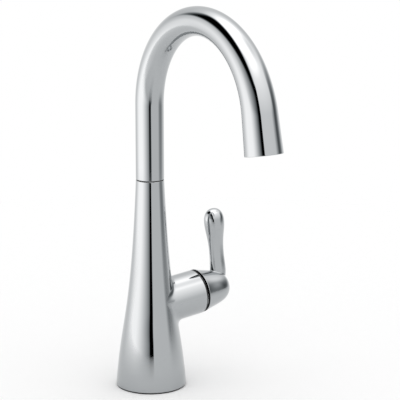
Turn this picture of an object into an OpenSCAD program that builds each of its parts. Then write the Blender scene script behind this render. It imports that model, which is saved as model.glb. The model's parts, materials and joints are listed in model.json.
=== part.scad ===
// Gooseneck bar faucet with a side lever, in polished chrome.
// Millimetres. The deck's top is the plane z = 0 and the body stands on it.
// The spout points to -Y at rest, and the valve housing points to +X.

/* [Body] */
// Diameter of the foot, where it meets its gasket
foot_d = 60; // [56:0.5:64]
// Height of the swivel seam above the deck
seam_h = 179.2; // [176:0.2:190]
// How far the outline's foot tangent leans in
foot_lean = 5; // [3:0.5:7]
// How high the outline's foot tangent reaches
foot_reach = 62.5; // [55:0.5:68]
// How far the outline's neck tangent leans out
neck_lean = 5.4; // [4:0.1:7]
// How low the outline's neck tangent reaches
neck_reach = 121; // [112:0.5:126]
// Wall of the casting
shell_wall = 2.2; // [1.8:0.1:2.6]
// Depth of the reinforced neck that holds the spout socket
neck_depth = 30; // [26:1:34]
// Bottom of the web that carries the shank
web_z = 4; // [3:0.5:6]
// Thickness of that web
web_t = 8; // [6:0.5:10]
// Thickness of the gasket under the foot
gasket_t = 1.2; // [0.8:0.1:2]

/* [Valve housing] */
// Height at which the housing's axis crosses the body's axis
valve_h = 69.8; // [66:0.2:74]
// Rise of the housing's axis above level, in degrees
valve_rise = 5.4; // [3:0.2:7]
// Outer diameter of the housing
housing_d = 38.4; // [37.8:0.1:39.4]
// Length of the housing, from the body's axis to its rim
housing_l = 46.6; // [46:0.1:46.8]
// Size of the fillet at the housing's root, on top
root_fillet_top = 3.5; // [2:0.5:5]
// Size of the fillet at the housing's root, underneath
root_fillet_low = 7; // [4:0.5:9]

/* [Spout] */
// Outer diameter of the gooseneck tube
tube_d = 23.8; // [23.4:0.1:24.6]
// Wall of the tube
tube_wall = 1.2; // [1:0.1:1.4]
// Height of the arch's centre above the deck
arch_h = 243.2; // [230:0.2:260]
// Radius of the arch, on the tube's centre line
arch_r = 76.9; // [70:0.1:85]
// Sweep of the arch, in degrees
arch_sweep = 169.6; // [160:0.2:176]
// Straight length after the arch
outlet_l = 30.8; // [26:0.2:36]
// Outer diameter of the tube at its outlet
outlet_d = 30.6; // [29.6:0.1:31.6]
// Length over which the tube widens, measured back from the outlet
flare_l = 143; // [120:1:170]
// How late the tube widens: 1 widens evenly
flare_power = 1.6; // [1.2:0.1:2]

/* [Swivel] */
// Diameter of the turned hub that the tube carries
hub_d = 17.6; // [17:0.1:17.8]
// Length of the hub below the seam
hub_l = 28.5; // [27:0.5:32]
// Length of the hub inside the tube
hub_insert = 12; // [10:0.5:16]
// Waterway through the hub
hub_bore = 11; // [9:0.5:12]
// Thickness of the bearing ring in the seam
glide_t = 0.8; // [0.6:0.1:1.2]
// Thickness of the snap ring
snap_t = 1.1; // [0.9:0.1:1.3]
// Width of an O-ring's cord
o_ring_w = 1.5; // [1.3:0.1:1.7]

/* [Handle] */
// Gap between the housing's rim and the handle's rim
rim_gap = 1.8; // [1.6:0.1:2.2]
// Length of the dome, from its rim to its nose
dome_l = 30.6; // [28:0.2:33]
// Slope at which the dome leaves its rim
dome_slope = 0.3; // [0.2:0.02:0.36]
// Angle at which the dome hangs below the housing's axis, in degrees
dome_tilt = 3; // [0:0.5:4]
// Distance from the housing's rim to the lever's centre
lever_out = 25; // [23.4:0.1:26.4]
// Height of the lever's tip above the housing's axis
lever_l = 69.3; // [64:0.1:78]
// Height of the lever's narrowest place above the housing's axis
lever_neck_h = 29; // [26:0.5:34]
// Height of the bulb's widest place above the housing's axis
lever_bulb_h = 57.5; // [54:0.5:61]
// Widths of the lever at its neck: along the housing's axis, and across it
lever_neck = [14.2, 7.8];
// Widths of the lever at its foot
lever_foot = [15.4, 9.2];
// Widths of the lever at its bulb
lever_bulb = [18, 16.4];
// Wall of the dome at its rim
dome_wall = 1.8; // [1.6:0.1:2]
// Diameter of the set screw
set_screw_d = 5; // [4:0.5:5]

/* [Cartridge] */
// Height of the stem's pivot above the floor of the valve's chamber
pivot_h = 18; // [17.8:0.1:18.2]
// Lift of the handle, in degrees
lift = 22; // [16:1:22]
// Diameter of the cartridge
cartridge_d = 27.9; // [27.4:0.1:28.1]
// Side of the square stem
stem_w = 6.4; // [6:0.1:6.8]
// Diameter of the stem's pin
pin_d = 3; // [2.6:0.1:3.2]
// Diameter of the ceramic discs' sliding part
disc_d = 17.4; // [16.8:0.1:17.6]
// Thickness of a ceramic disc
disc_t = 3; // [2.6:0.1:3.1]
// Diameter of the cartridge's ports
port_d = 4.6; // [4:0.1:4.8]

/* [Water inlets] */
// Distance between the two inlet tubes' centres
inlet_gap = 13.8; // [13.4:0.1:14]
// Outer diameter of an inlet tube
inlet_d = 9.5; // [9:0.1:9.8]
// Bore of an inlet tube
inlet_bore = 6.4; // [5.6:0.1:7]
// Thread of an inlet's end fitting, at its crests
inlet_thread_d = 8.92; // [8.6:0.02:9]
// Length of that thread
inlet_thread_l = 10; // [8:0.5:12]
// Diameter of the end fitting
fitting_d = 11.8; // [11.4:0.1:12]
// Length of the end fitting
fitting_l = 14; // [13:0.5:16]
// Diameter of the tube from the valve up to the spout
riser_tube_d = 10; // [9.4:0.1:10.4]

/* [Mounting] */
// Thickness of the deck that the faucet is clamped to
deck_t = 20; // [8:1:30]
// Diameter of the threaded shank
shank_d = 32; // [31:0.1:33]
// Bore of the shank
shank_bore = 26.4; // [26:0.1:27]
// Length of the shank below the deck's top
shank_l = 52; // [50:1:60]
// Outer diameter of the washers
washer_d = 54; // [48:0.5:58]
// Width of the mounting nut across its flats
nut_flats = 41; // [40:0.5:46]
// Height of the mounting nut
nut_h = 9; // [8:0.5:11]

/* [Outlet] */
// Length of the aerator's housing
aerator_l = 10; // [8:0.5:12]
// How deep the aerator sits inside the tube's end
aerator_recess = 2; // [1:0.5:3]
// Diameter of the aerator's water passage
aerator_bore = 22; // [20:0.5:23]

/* [Hidden] */

// Clearances
slip = 0.05;       // between pieces that slide or turn in each other
seat = 0.1;        // between pieces of one body that are pushed together
roomy = 0.4;       // around a washer or a gasket
through = 1;       // how far a cut runs past what it cuts

$fn = 64;
CHROME = "gainsboro";
BRASS = "goldenrod";
STEEL = "silver";
RUBBER = "dimgray";
DARK = "darkslategray";
WHITE = "whitesmoke";
CERAMIC = "linen";

// Body outline: a cubic curve from the foot to the seam
foot_r = foot_d / 2;
tube_r = tube_d / 2;
outline_steps = 30;
body_curve = [[foot_r, gasket_t], [foot_r - foot_lean, foot_reach],
              [tube_r + neck_lean, seam_h - neck_reach], [tube_r, seam_h]];
body_outline = [for (i = [0:outline_steps]) bezier(body_curve, i / outline_steps)];
body_radii = [for (p = body_outline) [p.y, p.x]];
function body_r(z) = lookup(z, body_radii);

// Neck and spout socket
hub_r = hub_d / 2;
socket_bore_r = hub_r + slip;
socket_wall = 1.25;
socket_r = socket_bore_r + socket_wall;
neck_z = seam_h - neck_depth;
socket_z = neck_z - 3;                       // the socket's foot stands below the neck
socket_top = seam_h - 0.6;
hub_bottom = seam_h - hub_l;
spout_z = seam_h + glide_t + slip;           // underside of the tube and the hub's collar
snap_z = hub_bottom + 2.6;
snap_w = 1.6;
snap_groove_r = hub_r - 1.2;
first_o_ring = 9;                            // from the hub's lower end
o_ring_pitch = 8;
o_ring_zs = [hub_bottom + first_o_ring, hub_bottom + first_o_ring + o_ring_pitch];
o_ring_r = hub_r - o_ring_w / 2;

// Foot
gasket_inset = 0.6;                          // of the gasket's edges, outside and inside
web_top = web_z + web_t;
shank_r = shank_d / 2;
spigot_r = shank_r - 1.1;                    // the shank's upper end, screwed into the web
foot_wall = 3;
washer_top = -deck_t;
rubber_t = 3;
steel_t = 1.5;
steel_inset = 1;                             // the steel washer is this much smaller
nut_top = washer_top - rubber_t - steel_t;

// Valve housing, in its own frame: d along its axis, w upwards, y across
housing_r = housing_d / 2;
core_r = 17;                                 // the valve body's cup
housing_bore_r = core_r + seat;
block_r = 15;                                // the valve body's drilled block
block_back = -7;
cup_back = 7;
floor_wall = 3;                              // between the riser's tube and the chamber
chamber_floor = riser_tube_d / 2 + floor_wall;
chamber_r = cartridge_d / 2 + 0.15;
pivot_at = chamber_floor + pivot_h;
thread_r = 15.5;
thread_h = 0.6;                              // from the pivot up to the cup's thread
thread_at = pivot_at + thread_h;
cup_inset = 2.1;                             // from the housing's rim to the cup's
cup_end = housing_l - cup_inset;
rim_at = housing_l + rim_gap;                // the handle's rim
cavity_r = norm([rim_at - pivot_at, housing_r - dome_wall]);

// Ports: hot, cold, mixed water
port_r = port_d / 2;
ports = [[inlet_gap / 2 - 0.7, -3.6], [0.7 - inlet_gap / 2, -3.6], [0, 7.2]];
inlet_y = inlet_gap / 2;
inlet_r = inlet_d / 2;
inlet_inset = 6;                             // from the shank's lower end up to the inlets'
inlet_end = inlet_inset - shank_l;
riser_tube_r = riser_tube_d / 2;

// Cartridge, along d
seal_t = 1.5;
port_seal_w = 1.2;
base_at = chamber_floor + 0.4;
base_t = 3.6;
seal_groove_at = base_at + 1.6;
seal_groove_w = 1.5;
disc_at = base_at + base_t;
film = 0.02;                                 // between the lapped discs
moving_at = disc_at + disc_t + film;
carrier_at = moving_at + disc_t;
carrier_t = 3.4;
rotor_at = carrier_at + carrier_t + 0.2;
disc_r = disc_d / 2;
cartridge_r = cartridge_d / 2;
disc_room_r = 11.3;
rotor_r = 10.45;
rotor_neck_r = 8.5;
shoulder_h = 5;                              // these heights are above the pivot
rotor_h = 8.5;
sleeve_h = 7;
bonnet_h = 12;
stem_h = 36;
rotor_shoulder = pivot_at + shoulder_h;
rotor_end = pivot_at + rotor_h;
sleeve_shoulder = thread_at;
sleeve_neck_r = 11.6;
sleeve_end = pivot_at + sleeve_h;
nut_end = pivot_at + bonnet_h;
stem_end = pivot_at + stem_h;
pin_r = pin_d / 2;
ball_r = 2;
ball_drop = 5.6;                             // from the pivot down to the stem's ball

// Handle
dome_steps = 14;
lever_steps = 20;
lever_sides = 24;
dome_reach = 17.6;                           // how far the dome's slope at its rim is felt
nose_r = 15.3;                               // how blunt the dome's nose is
dome_curve = [[0, housing_r], [dome_reach, housing_r - dome_reach * dome_slope],
              [dome_l, nose_r], [dome_l, 0]];
screw_inset = 3;                             // from the stem's end to the set screw
screw_at = stem_end - screw_inset;
lever_at = housing_l + lever_out;
screw_r = set_screw_d / 2;
screw_l = 8;

// Spout
flare_start = arch_length() - flare_l;
arch_sides = 28;
arch_steps = 24;
aerator_r = outlet_d / 2 - tube_wall - seat;
aerator_lip = 0.8;
aerator_seal_t = 2;
screen_at = aerator_recess + aerator_lip + seat + slip;
core_at = aerator_recess + 2.4;

function mix(a, b, t) = a + (b - a) * t;
function ease(t) = (1 - cos(180 * min(max(t, 0), 1))) / 2;
function bezier(p, t) =
    let (a = mix(p[0], p[1], t), b = mix(p[1], p[2], t), c = mix(p[2], p[3], t))
    mix(mix(a, b, t), mix(b, c, t), t);

// Length of the centre line from the arch's foot to the outlet
function arch_length() = arch_r * arch_sweep * PI / 180 + outlet_l;
// Outer radius of the tube at a length s along that line
function spout_r(s) =
    let (u = min(max((s - flare_start) / flare_l, 0), 1))
    mix(tube_r, outlet_d / 2, pow(u, flare_power));

// Puts children in the valve housing's frame: their +Z runs along its axis, their -X up
module along_valve() {
    translate([0, 0, valve_h]) rotate([0, 90 - valve_rise, 0]) children();
}

// A point of the valve housing's frame in the part's frame
function valve_point(d, w, y) =
    [d * cos(valve_rise) - w * sin(valve_rise), y,
     valve_h + d * sin(valve_rise) + w * cos(valve_rise)];

module tube(r_out, r_in, h) {
    difference() {
        cylinder(r = r_out, h = h);
        translate([0, 0, -through]) cylinder(r = r_in, h = h + 2 * through);
    }
}

// A closed skin through rings of equally many points
module loft(rings) {
    n = len(rings[0]);
    m = len(rings);
    points = [for (ring = rings) each ring];
    sides = [for (i = [0:m - 2]) for (j = [0:n - 1])
                let (a = i * n + j, b = i * n + (j + 1) % n)
                each [[a, a + n, b], [b, a + n, b + n]]];
    first = [for (j = [0:n - 1]) j];
    last = [for (j = [n - 1:-1:0]) (m - 1) * n + j];
    polyhedron(points, concat(sides, [first, last]), convexity = 6);
}

// Distance along the housing's axis at which a line beside it leaves the body's surface.
// The line lies rho away from the axis, phi degrees from its upper side.
function root_at(rho, phi, turns = 8, d = housing_r) =
    turns == 0 ? d :
    let (w = rho * cos(phi), y = rho * sin(phi), r = body_r(valve_point(d, w, y).z))
    root_at(rho, phi, turns - 1,
            (sqrt(max(r * r - y * y, 0.01)) + w * sin(valve_rise)) / cos(valve_rise));

// Fillet between the body and its housing: a ring whose section is a hollow curve, large
// underneath, small on top, and thin at the sides, where the two surfaces nearly agree
module root_fillet() {
    turns = 48;
    curve_steps = 6;
    sink = 0.06;
    bury = 1.1;
    side_fillet = 0.8;
    sections = [for (k = [0:turns - 1])
        let (phi = 360 * k / turns,
             full = mix(root_fillet_low, root_fillet_top, (1 + cos(phi)) / 2),
             size = mix(side_fillet, full, pow(abs(cos(phi)), 1.5)),
             corner = [housing_r, root_at(housing_r, phi)],
             on_housing = [housing_r, corner.y + size],
             on_body = [housing_r + size, root_at(housing_r + size, phi)],
             curve = [for (i = [0:curve_steps])
                 let (t = i / curve_steps)
                 mix(mix(on_housing, corner, t), mix(corner, on_body, t), t) - [sink, sink]],
             section = concat(curve, [corner - [bury, bury]]))
        [for (p = section) valve_point(p.y, p.x * cos(phi), p.x * sin(phi))]];
    n = curve_steps + 2;
    faces = [for (k = [0:turns - 1]) for (j = [0:n - 1])
        let (next_k = (k + 1) % turns, next_j = (j + 1) % n,
             a = k * n + j, b = k * n + next_j, c = next_k * n + j, d = next_k * n + next_j)
        each [[a, b, c], [b, d, c]]];
    polyhedron([for (s = sections) each s], faces, convexity = 8);
}

// ---- Body ----

module body_shell() {
    cavity_top = neck_z;
    cavity = concat(
        [[0, web_top], [body_r(web_top) - shell_wall, web_top]],
        [for (p = body_outline) if (p.y > web_top && p.y < cavity_top - 1) [p.x - shell_wall, p.y]],
        [[body_r(cavity_top) - shell_wall, cavity_top], [0, cavity_top]]);
    foot_hollow = [[0, 0], [body_r(gasket_t) - foot_wall, 0], [body_r(web_z) - foot_wall, web_z],
                   [0, web_z]];
    rim_round = 0.4;
    color(CHROME)
    difference() {
        union() {
            rotate_extrude() polygon(concat([[0, gasket_t]], body_outline, [[0, seam_h]]));
            along_valve() {
                cylinder(r = housing_r, h = housing_l - rim_round);
                translate([0, 0, housing_l - rim_round])
                    cylinder(r1 = housing_r, r2 = housing_r - rim_round, h = rim_round);
            }
            root_fillet();
        }
        rotate_extrude() polygon(cavity);
        rotate_extrude() polygon(foot_hollow);
        along_valve() cylinder(r = housing_bore_r, h = housing_l + through);
        translate([0, 0, web_z - through]) cylinder(r = spigot_r + seat, h = web_t + 2 * through);
        translate([0, 0, neck_z - through]) cylinder(r = socket_r + seat, h = neck_depth + 2 * through);
    }
}

module base_gasket() {
    color(DARK) tube(foot_r - gasket_inset, shank_r + gasket_inset, gasket_t);
}

module mounting_shank() {
    color(BRASS)
    difference() {
        union() {
            translate([0, 0, -shank_l]) cylinder(r = shank_r, h = shank_l + web_z);
            cylinder(r = spigot_r, h = web_top);
        }
        translate([0, 0, -shank_l - through]) cylinder(r = shank_bore / 2, h = shank_l + web_top + 2 * through);
    }
}

module deck_washer() {
    color(RUBBER) translate([0, 0, washer_top - rubber_t])
        tube(washer_d / 2, shank_r + roomy, rubber_t);
}

module steel_washer() {
    color(STEEL) translate([0, 0, nut_top]) tube(washer_d / 2 - steel_inset, shank_r + roomy, steel_t);
}

module mounting_nut() {
    corner_r = nut_flats / 2 / cos(30);
    bevel = 1.4;
    color(BRASS) translate([0, 0, nut_top - nut_h])
    difference() {
        intersection() {
            cylinder(r = corner_r, h = nut_h, $fn = 6);
            union() {
                cylinder(r1 = corner_r - bevel, r2 = corner_r + 0.1, h = bevel);
                translate([0, 0, bevel]) cylinder(r = corner_r + 0.1, h = nut_h - bevel);
            }
        }
        translate([0, 0, -through]) cylinder(r = shank_r + slip, h = nut_h + 2 * through);
    }
}

// ---- Waterway ----

module valve_body() {
    port_depth = chamber_floor + 3;
    inlet_drill_r = 3;
    inlet_drill_l = 13;
    inlet_seat_l = 7.6;
    riser_drill_r = 3.4;
    riser_drill_from = 6;
    socket_depth = 5;
    block_top = valve_h + block_r;
    block_low = valve_h - block_r;
    color(BRASS)
    difference() {
        union() {
            along_valve() translate([0, 0, block_back]) cylinder(r = block_r, h = chamber_floor - block_back);
            along_valve() translate([0, 0, cup_back]) cylinder(r = core_r, h = cup_end - cup_back);
        }
        along_valve() {
            translate([0, 0, chamber_floor]) cylinder(r = chamber_r, h = cup_end);
            translate([0, 0, thread_at]) cylinder(r = thread_r, h = cup_end);
            for (p = ports)
                translate([-p.y, p.x, chamber_floor - port_depth]) cylinder(r = port_r, h = port_depth + through);
        }
        for (side = [-1, 1]) translate([0, side * inlet_y, 0]) {
            translate([0, 0, block_low - through]) cylinder(r = inlet_drill_r, h = inlet_drill_l + through);
            translate([0, 0, block_low - through]) cylinder(r = inlet_r + slip, h = inlet_seat_l + through);
        }
        translate([0, 0, valve_h + riser_drill_from]) cylinder(r = riser_drill_r, h = block_r);
        translate([0, 0, block_top - socket_depth]) cylinder(r = riser_tube_r + slip, h = socket_depth + through);
    }
}

module inlet_tube(side) {
    insert = 7;
    tube_top = valve_h - block_r + insert;
    lead = 0.8;
    translate([0, side * inlet_y, 0])
    difference() {
        union() {
            translate([0, 0, inlet_end]) cylinder(r = inlet_r, h = tube_top - inlet_end);
            translate([0, 0, inlet_end]) cylinder(r = fitting_d / 2, h = fitting_l - lead);
            translate([0, 0, inlet_end + fitting_l - lead])
                cylinder(r1 = fitting_d / 2, r2 = inlet_r, h = lead);
        }
        translate([0, 0, inlet_end - through])
            cylinder(r = inlet_bore / 2, h = tube_top - inlet_end + 2 * through);
        translate([0, 0, inlet_end - through])
            cylinder(r = inlet_thread_d / 2, h = inlet_thread_l + through);
    }
}

module hot_inlet_tube() { color(BRASS) inlet_tube(1); }

module cold_inlet_tube() { color(BRASS) inlet_tube(-1); }

// Tube from the valve up to the socket in which the spout turns
module outlet_riser() {
    insert = 4.5;
    tube_low = valve_h + block_r - insert;
    widen = 8;
    bore_r = riser_tube_r - 1.4;
    bore_past = 3;
    ledge = 1.6;
    snap_room = snap_t + 0.5;
    snap_room_r = hub_r + 0.75;
    color(BRASS)
    difference() {
        union() {
            translate([0, 0, tube_low]) cylinder(r = riser_tube_r, h = socket_z - tube_low);
            translate([0, 0, socket_z - widen]) cylinder(r1 = riser_tube_r, r2 = socket_r, h = widen);
            translate([0, 0, socket_z]) cylinder(r = socket_r, h = socket_top - socket_z);
        }
        translate([0, 0, tube_low - through]) cylinder(r = bore_r, h = socket_z - tube_low + bore_past + through);
        translate([0, 0, hub_bottom - ledge]) cylinder(r = socket_bore_r, h = hub_l + ledge);
        translate([0, 0, snap_z - (snap_room - snap_t) / 2]) cylinder(r = snap_room_r, h = snap_room);
    }
}

// ---- Spout ----

module glide_ring() {
    inset = 0.5;
    color(DARK) translate([0, 0, seam_h]) tube(tube_r - inset, hub_r + slip, glide_t);
}

// One ring of points round the tube, s along the centre line past the arch's foot
function spout_ring(s, r) =
    let (bend = min(max(s / arch_r * 180 / PI, 0), arch_sweep),
         ahead = min(s, 0) + max(s - arch_r * arch_sweep * PI / 180, 0),
         centre = [0, arch_r * (cos(bend) - 1) - ahead * sin(bend),
                   arch_h + arch_r * sin(bend) + ahead * cos(bend)])
    [for (k = [0:arch_sides - 1])
        let (turn = 360 * k / arch_sides, out = r * cos(turn), across = r * sin(turn))
        centre + [across, out * cos(bend), out * sin(bend)]];

// The arch, which starts to widen half way: a hollow loft let into its neighbours' walls
module arch() {
    lap = 0.4;
    inlay = 0.03;
    flat_to_round = 1 / cos(180 / arch_sides);
    arch_end = arch_length() - outlet_l;
    stations = concat([-lap], [for (i = [1:arch_steps - 1]) arch_end * i / arch_steps],
                      [arch_end + lap]);
    rings = concat([for (s = stations) spout_ring(s, spout_r(s) - inlay)],
                   [for (i = [len(stations) - 1:-1:0]) let (s = stations[i])
                       spout_ring(s, (spout_r(s) - tube_wall) * flat_to_round + inlay)]);
    n = arch_sides;
    m = len(rings);
    faces = [for (i = [0:m - 1]) for (j = [0:n - 1])
        let (a = i * n + j, b = i * n + (j + 1) % n,
             c = (i + 1) % m * n + j, d = (i + 1) % m * n + (j + 1) % n)
        each [[a, b, c], [b, d, c]]];
    polyhedron([for (ring = rings) each ring], faces, convexity = 8);
}

// The straight end of the spout, still widening, with the pocket for the aerator
module outlet_leg() {
    steps = 5;
    pocket_l = aerator_recess + aerator_l + 2 * aerator_seal_t;
    outside = [for (i = [0:steps]) let (h = outlet_l * i / steps) [spout_r(arch_length() - h), h]];
    difference() {
        rotate_extrude() polygon(concat([[0, 0]], outside, [[0, outlet_l]]));
        translate([0, 0, -through]) cylinder(r = aerator_r + seat, h = pocket_l + through);
        rotate_extrude() polygon(concat([[0, -1]], [for (p = outside) p - [tube_wall, 0]],
                                        [[0, outlet_l + 1]]));
        translate([0, 0, outlet_l - 1]) cylinder(r = outside[steps].x - tube_wall, h = 2);
    }
}

// Moves children to the outlet's end, their +Z pointing back up the tube
module at_outlet() {
    end_y = -arch_r * (1 - cos(arch_sweep)) - outlet_l * sin(arch_sweep);
    end_z = arch_h + arch_r * sin(arch_sweep) + outlet_l * cos(arch_sweep);
    translate([0, end_y, end_z]) rotate([arch_sweep - 180, 0, 0]) children();
}

module spout_tube() {
    color(CHROME)
    union() {
        translate([0, 0, spout_z]) tube(tube_r, tube_r - tube_wall, arch_h - spout_z);
        arch();
        at_outlet() outlet_leg();
    }
}

module spout_hub() {
    groove_r = o_ring_r - o_ring_w / 2 - seat;
    groove_w = o_ring_w + 0.4;
    collar_r = tube_r - tube_wall - slip;
    color(BRASS)
    difference() {
        union() {
            translate([0, 0, hub_bottom]) cylinder(r = hub_r, h = spout_z - hub_bottom + 1);
            translate([0, 0, spout_z]) cylinder(r = collar_r, h = hub_insert);
        }
        translate([0, 0, hub_bottom - through]) cylinder(r = hub_bore / 2, h = hub_l + hub_insert + 3 * through);
        for (z = o_ring_zs) translate([0, 0, z - groove_w / 2])
            difference() {
                cylinder(r = hub_r + through, h = groove_w);
                cylinder(r = groove_r, h = groove_w);
            }
        translate([0, 0, snap_z - slip])
            difference() {
                cylinder(r = hub_r + through, h = snap_t + 2 * slip);
                cylinder(r = snap_groove_r, h = snap_t + 2 * slip);
            }
    }
}

module spout_o_rings() {
    color(RUBBER) for (z = o_ring_zs) translate([0, 0, z])
        rotate_extrude() translate([o_ring_r, 0]) circle(r = o_ring_w / 2, $fn = 32);
}

module snap_ring() {
    opening = 40;
    color(STEEL) translate([0, 0, snap_z]) rotate([0, 0, 90 + opening / 2])
        rotate_extrude(angle = 360 - opening) translate([snap_groove_r + seat, 0]) square([snap_w, snap_t]);
}

// ---- Outlet ----

module aerator_housing() {
    key_w = 3;
    key_depth = 1.6;
    color(DARK) at_outlet() translate([0, 0, aerator_recess])
    difference() {
        cylinder(r = aerator_r, h = aerator_l);
        translate([0, 0, -through]) cylinder(r = aerator_bore / 2 - aerator_lip, h = aerator_l);
        translate([0, 0, aerator_lip]) cylinder(r = aerator_bore / 2, h = aerator_l);
        for (k = [0:3]) rotate([0, 0, 90 * k]) translate([aerator_bore / 2, -key_w / 2, -through])
            cube([aerator_r, key_w, through + key_depth]);
    }
}

// Flow straightener: a plate with rings of holes
module aerator_core() {
    plate_t = 3;
    hole_r = 1.1;
    rings = [[0, 1], [4.2, 6], [8, 12]];
    color(WHITE) at_outlet() translate([0, 0, core_at])
    difference() {
        cylinder(r = aerator_bore / 2 - slip, h = plate_t);
        for (ring = rings) for (k = [0:ring[1] - 1])
            rotate([0, 0, 360 * k / ring[1]]) translate([ring[0], 0, -through])
                cylinder(r = hole_r, h = plate_t + 2 * through, $fn = 16);
    }
}

// Stack of fine mesh below the straightener
module aerator_screen() {
    mesh_t = 0.8;
    color(STEEL) at_outlet() translate([0, 0, screen_at])
        cylinder(r = aerator_bore / 2 - slip, h = mesh_t);
}

module aerator_seal() {
    color(RUBBER) at_outlet() translate([0, 0, aerator_recess + aerator_l])
        tube(aerator_r - seat, aerator_bore / 2 - 1, aerator_seal_t);
}

// ---- Cartridge ----

module port_holes(r, from, to) {
    for (p = ports) translate([-p.y, p.x, from]) cylinder(r = r, h = to - from, $fn = 32);
}

module cartridge_base() {
    seal_groove_depth = 1.3;
    seal_stands = 0.3;                       // how far the port seals stand out
    color(WHITE) along_valve()
    difference() {
        translate([0, 0, base_at]) cylinder(r = cartridge_r, h = base_t);
        port_holes(port_r, base_at - through, base_at + base_t + through);
        port_holes(port_r + port_seal_w + seat, base_at - through, base_at + seal_t - seal_stands);
        translate([0, 0, seal_groove_at])
            difference() {
                cylinder(r = cartridge_r + through, h = seal_groove_w);
                cylinder(r = cartridge_r - seal_groove_depth, h = seal_groove_w);
            }
    }
}

module port_seals() {
    color(RUBBER) along_valve() for (p = ports) translate([-p.y, p.x, chamber_floor])
        tube(port_r + port_seal_w, port_r, seal_t);
}

module base_seal() {
    cord_r = 0.65;
    color(RUBBER) along_valve() translate([0, 0, seal_groove_at + seal_groove_w / 2])
        rotate_extrude() translate([cartridge_r - cord_r + 0.1, 0]) circle(r = cord_r, $fn = 24);
}

module fixed_disc() {
    color(CERAMIC) along_valve()
    difference() {
        translate([0, 0, disc_at]) cylinder(r = disc_room_r - seat, h = disc_t);
        port_holes(port_r, disc_at - through, disc_at + disc_t + through);
    }
}

// The sliding disc has a pocket underneath that joins the ports
module moving_disc() {
    pocket_r = 5.2;
    pocket_up = 1.8;
    pocket_depth = 1.8;
    color(CERAMIC) along_valve()
    difference() {
        translate([0, 0, moving_at]) cylinder(r = disc_r, h = disc_t);
        translate([-pocket_up, 0, moving_at - through]) cylinder(r = pocket_r, h = pocket_depth + through);
    }
}

module disc_carrier() {
    ball_room = ball_r + 0.15;
    color(DARK) along_valve()
    difference() {
        translate([0, 0, carrier_at]) cylinder(r = disc_r, h = carrier_t);
        translate([0, 0, carrier_at - through]) cylinder(r = ball_room, h = carrier_t + 2 * through);
    }
}

module cartridge_sleeve() {
    rotor_room = rotor_r + slip;
    lip = rotor_shoulder + slip;
    color(WHITE) along_valve()
    difference() {
        union() {
            translate([0, 0, disc_at]) cylinder(r = cartridge_r, h = sleeve_shoulder - disc_at);
            translate([0, 0, disc_at]) cylinder(r = sleeve_neck_r, h = sleeve_end - disc_at);
        }
        translate([0, 0, disc_at - through]) cylinder(r = disc_room_r, h = rotor_at + 0.2 - disc_at + through);
        translate([0, 0, disc_at]) cylinder(r = rotor_room, h = lip - disc_at);
        translate([0, 0, disc_at]) cylinder(r = rotor_neck_r + slip, h = sleeve_end - disc_at + through);
    }
}

// The turret that turns with the handle. Its slot lets the stem rock one way
module rotor() {
    play = 0.3;
    half = stem_w / 2 + play;
    waist = 3.9;
    rock_top = (rotor_end - pivot_at) * tan(lift) + stem_w / 2 / cos(lift) + play;
    rock_low = (pivot_at - rotor_at) * tan(lift) + ball_r + play;
    slot = [[-half, rotor_end + 1], [-half, pivot_at + 2], [-waist, pivot_at], [-rock_low, rotor_at - 1],
            [half - 1, rotor_at - 1], [waist, pivot_at - 2], [waist, pivot_at + 1],
            [rock_top + 0.4, rotor_end + 1]];
    color(WHITE) along_valve()
    difference() {
        union() {
            translate([0, 0, rotor_at]) cylinder(r = rotor_r, h = rotor_shoulder - rotor_at);
            translate([0, 0, rotor_at]) cylinder(r = rotor_neck_r, h = rotor_end - rotor_at);
        }
        rotate([90, 0, 0]) linear_extrude(height = stem_w + 2 * slip, center = true) polygon(slot);
        translate([0, 0, pivot_at]) rotate([90, 0, 0])
            cylinder(r = pin_r + 0.02, h = 2 * rotor_r + 2, center = true, $fn = 32);
    }
}

module stem_pin() {
    color(STEEL) along_valve() translate([0, 0, pivot_at]) rotate([90, 0, 0])
        cylinder(r = pin_r, h = 2 * rotor_r - 1, center = true, $fn = 32);
}

// Lever of the cartridge: ball below, eye at the pin, square end for the handle
module stem() {
    eye_r = 3.4;
    shaft_from = pivot_at + 2;
    color(STEEL) along_valve()
    difference() {
        union() {
            translate([0, 0, pivot_at - ball_drop]) sphere(r = ball_r, $fn = 32);
            translate([0, 0, pivot_at - ball_drop]) cylinder(r = ball_r - 0.5, h = ball_drop, $fn = 32);
            translate([0, 0, pivot_at]) rotate([90, 0, 0]) cylinder(r = eye_r, h = stem_w, center = true);
            translate([-stem_w / 2, -stem_w / 2, shaft_from]) cube([stem_w, stem_w, stem_end - shaft_from]);
        }
        translate([0, 0, pivot_at]) rotate([90, 0, 0])
            cylinder(r = pin_r + slip, h = stem_w + 2, center = true, $fn = 32);
    }
}

// Toothed ring round the sleeve's neck that limits how hot the water can be set
module limit_ring() {
    teeth = 24;
    ring_r = 10.9;
    ring_t = 1.6;
    notch_r = 0.6;
    room = 0.3;
    color("firebrick") along_valve() translate([0, 0, sleeve_end])
    difference() {
        cylinder(r = ring_r, h = ring_t);
        translate([0, 0, -through]) cylinder(r = rotor_neck_r + room, h = ring_t + 2 * through);
        for (k = [0:teeth - 1]) rotate([0, 0, 360 * k / teeth]) translate([ring_r, 0, -through])
            cylinder(r = notch_r, h = ring_t + 2 * through, $fn = 16);
    }
}

module bonnet_nut() {
    slots = 6;
    slot_w = 3;
    slot_depth = 3;
    slot_from = sleeve_neck_r + 1.4;
    color(BRASS) along_valve()
    difference() {
        translate([0, 0, sleeve_shoulder]) cylinder(r = thread_r - seat, h = nut_end - sleeve_shoulder);
        translate([0, 0, sleeve_shoulder - through])
            cylinder(r = sleeve_neck_r + seat, h = nut_end - sleeve_shoulder + 2 * through);
        for (k = [0:slots - 1]) rotate([0, 0, 360 * k / slots])
            translate([slot_from, -slot_w / 2, nut_end - slot_depth])
                cube([thread_r, slot_w, slot_depth + through]);
    }
}

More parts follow.
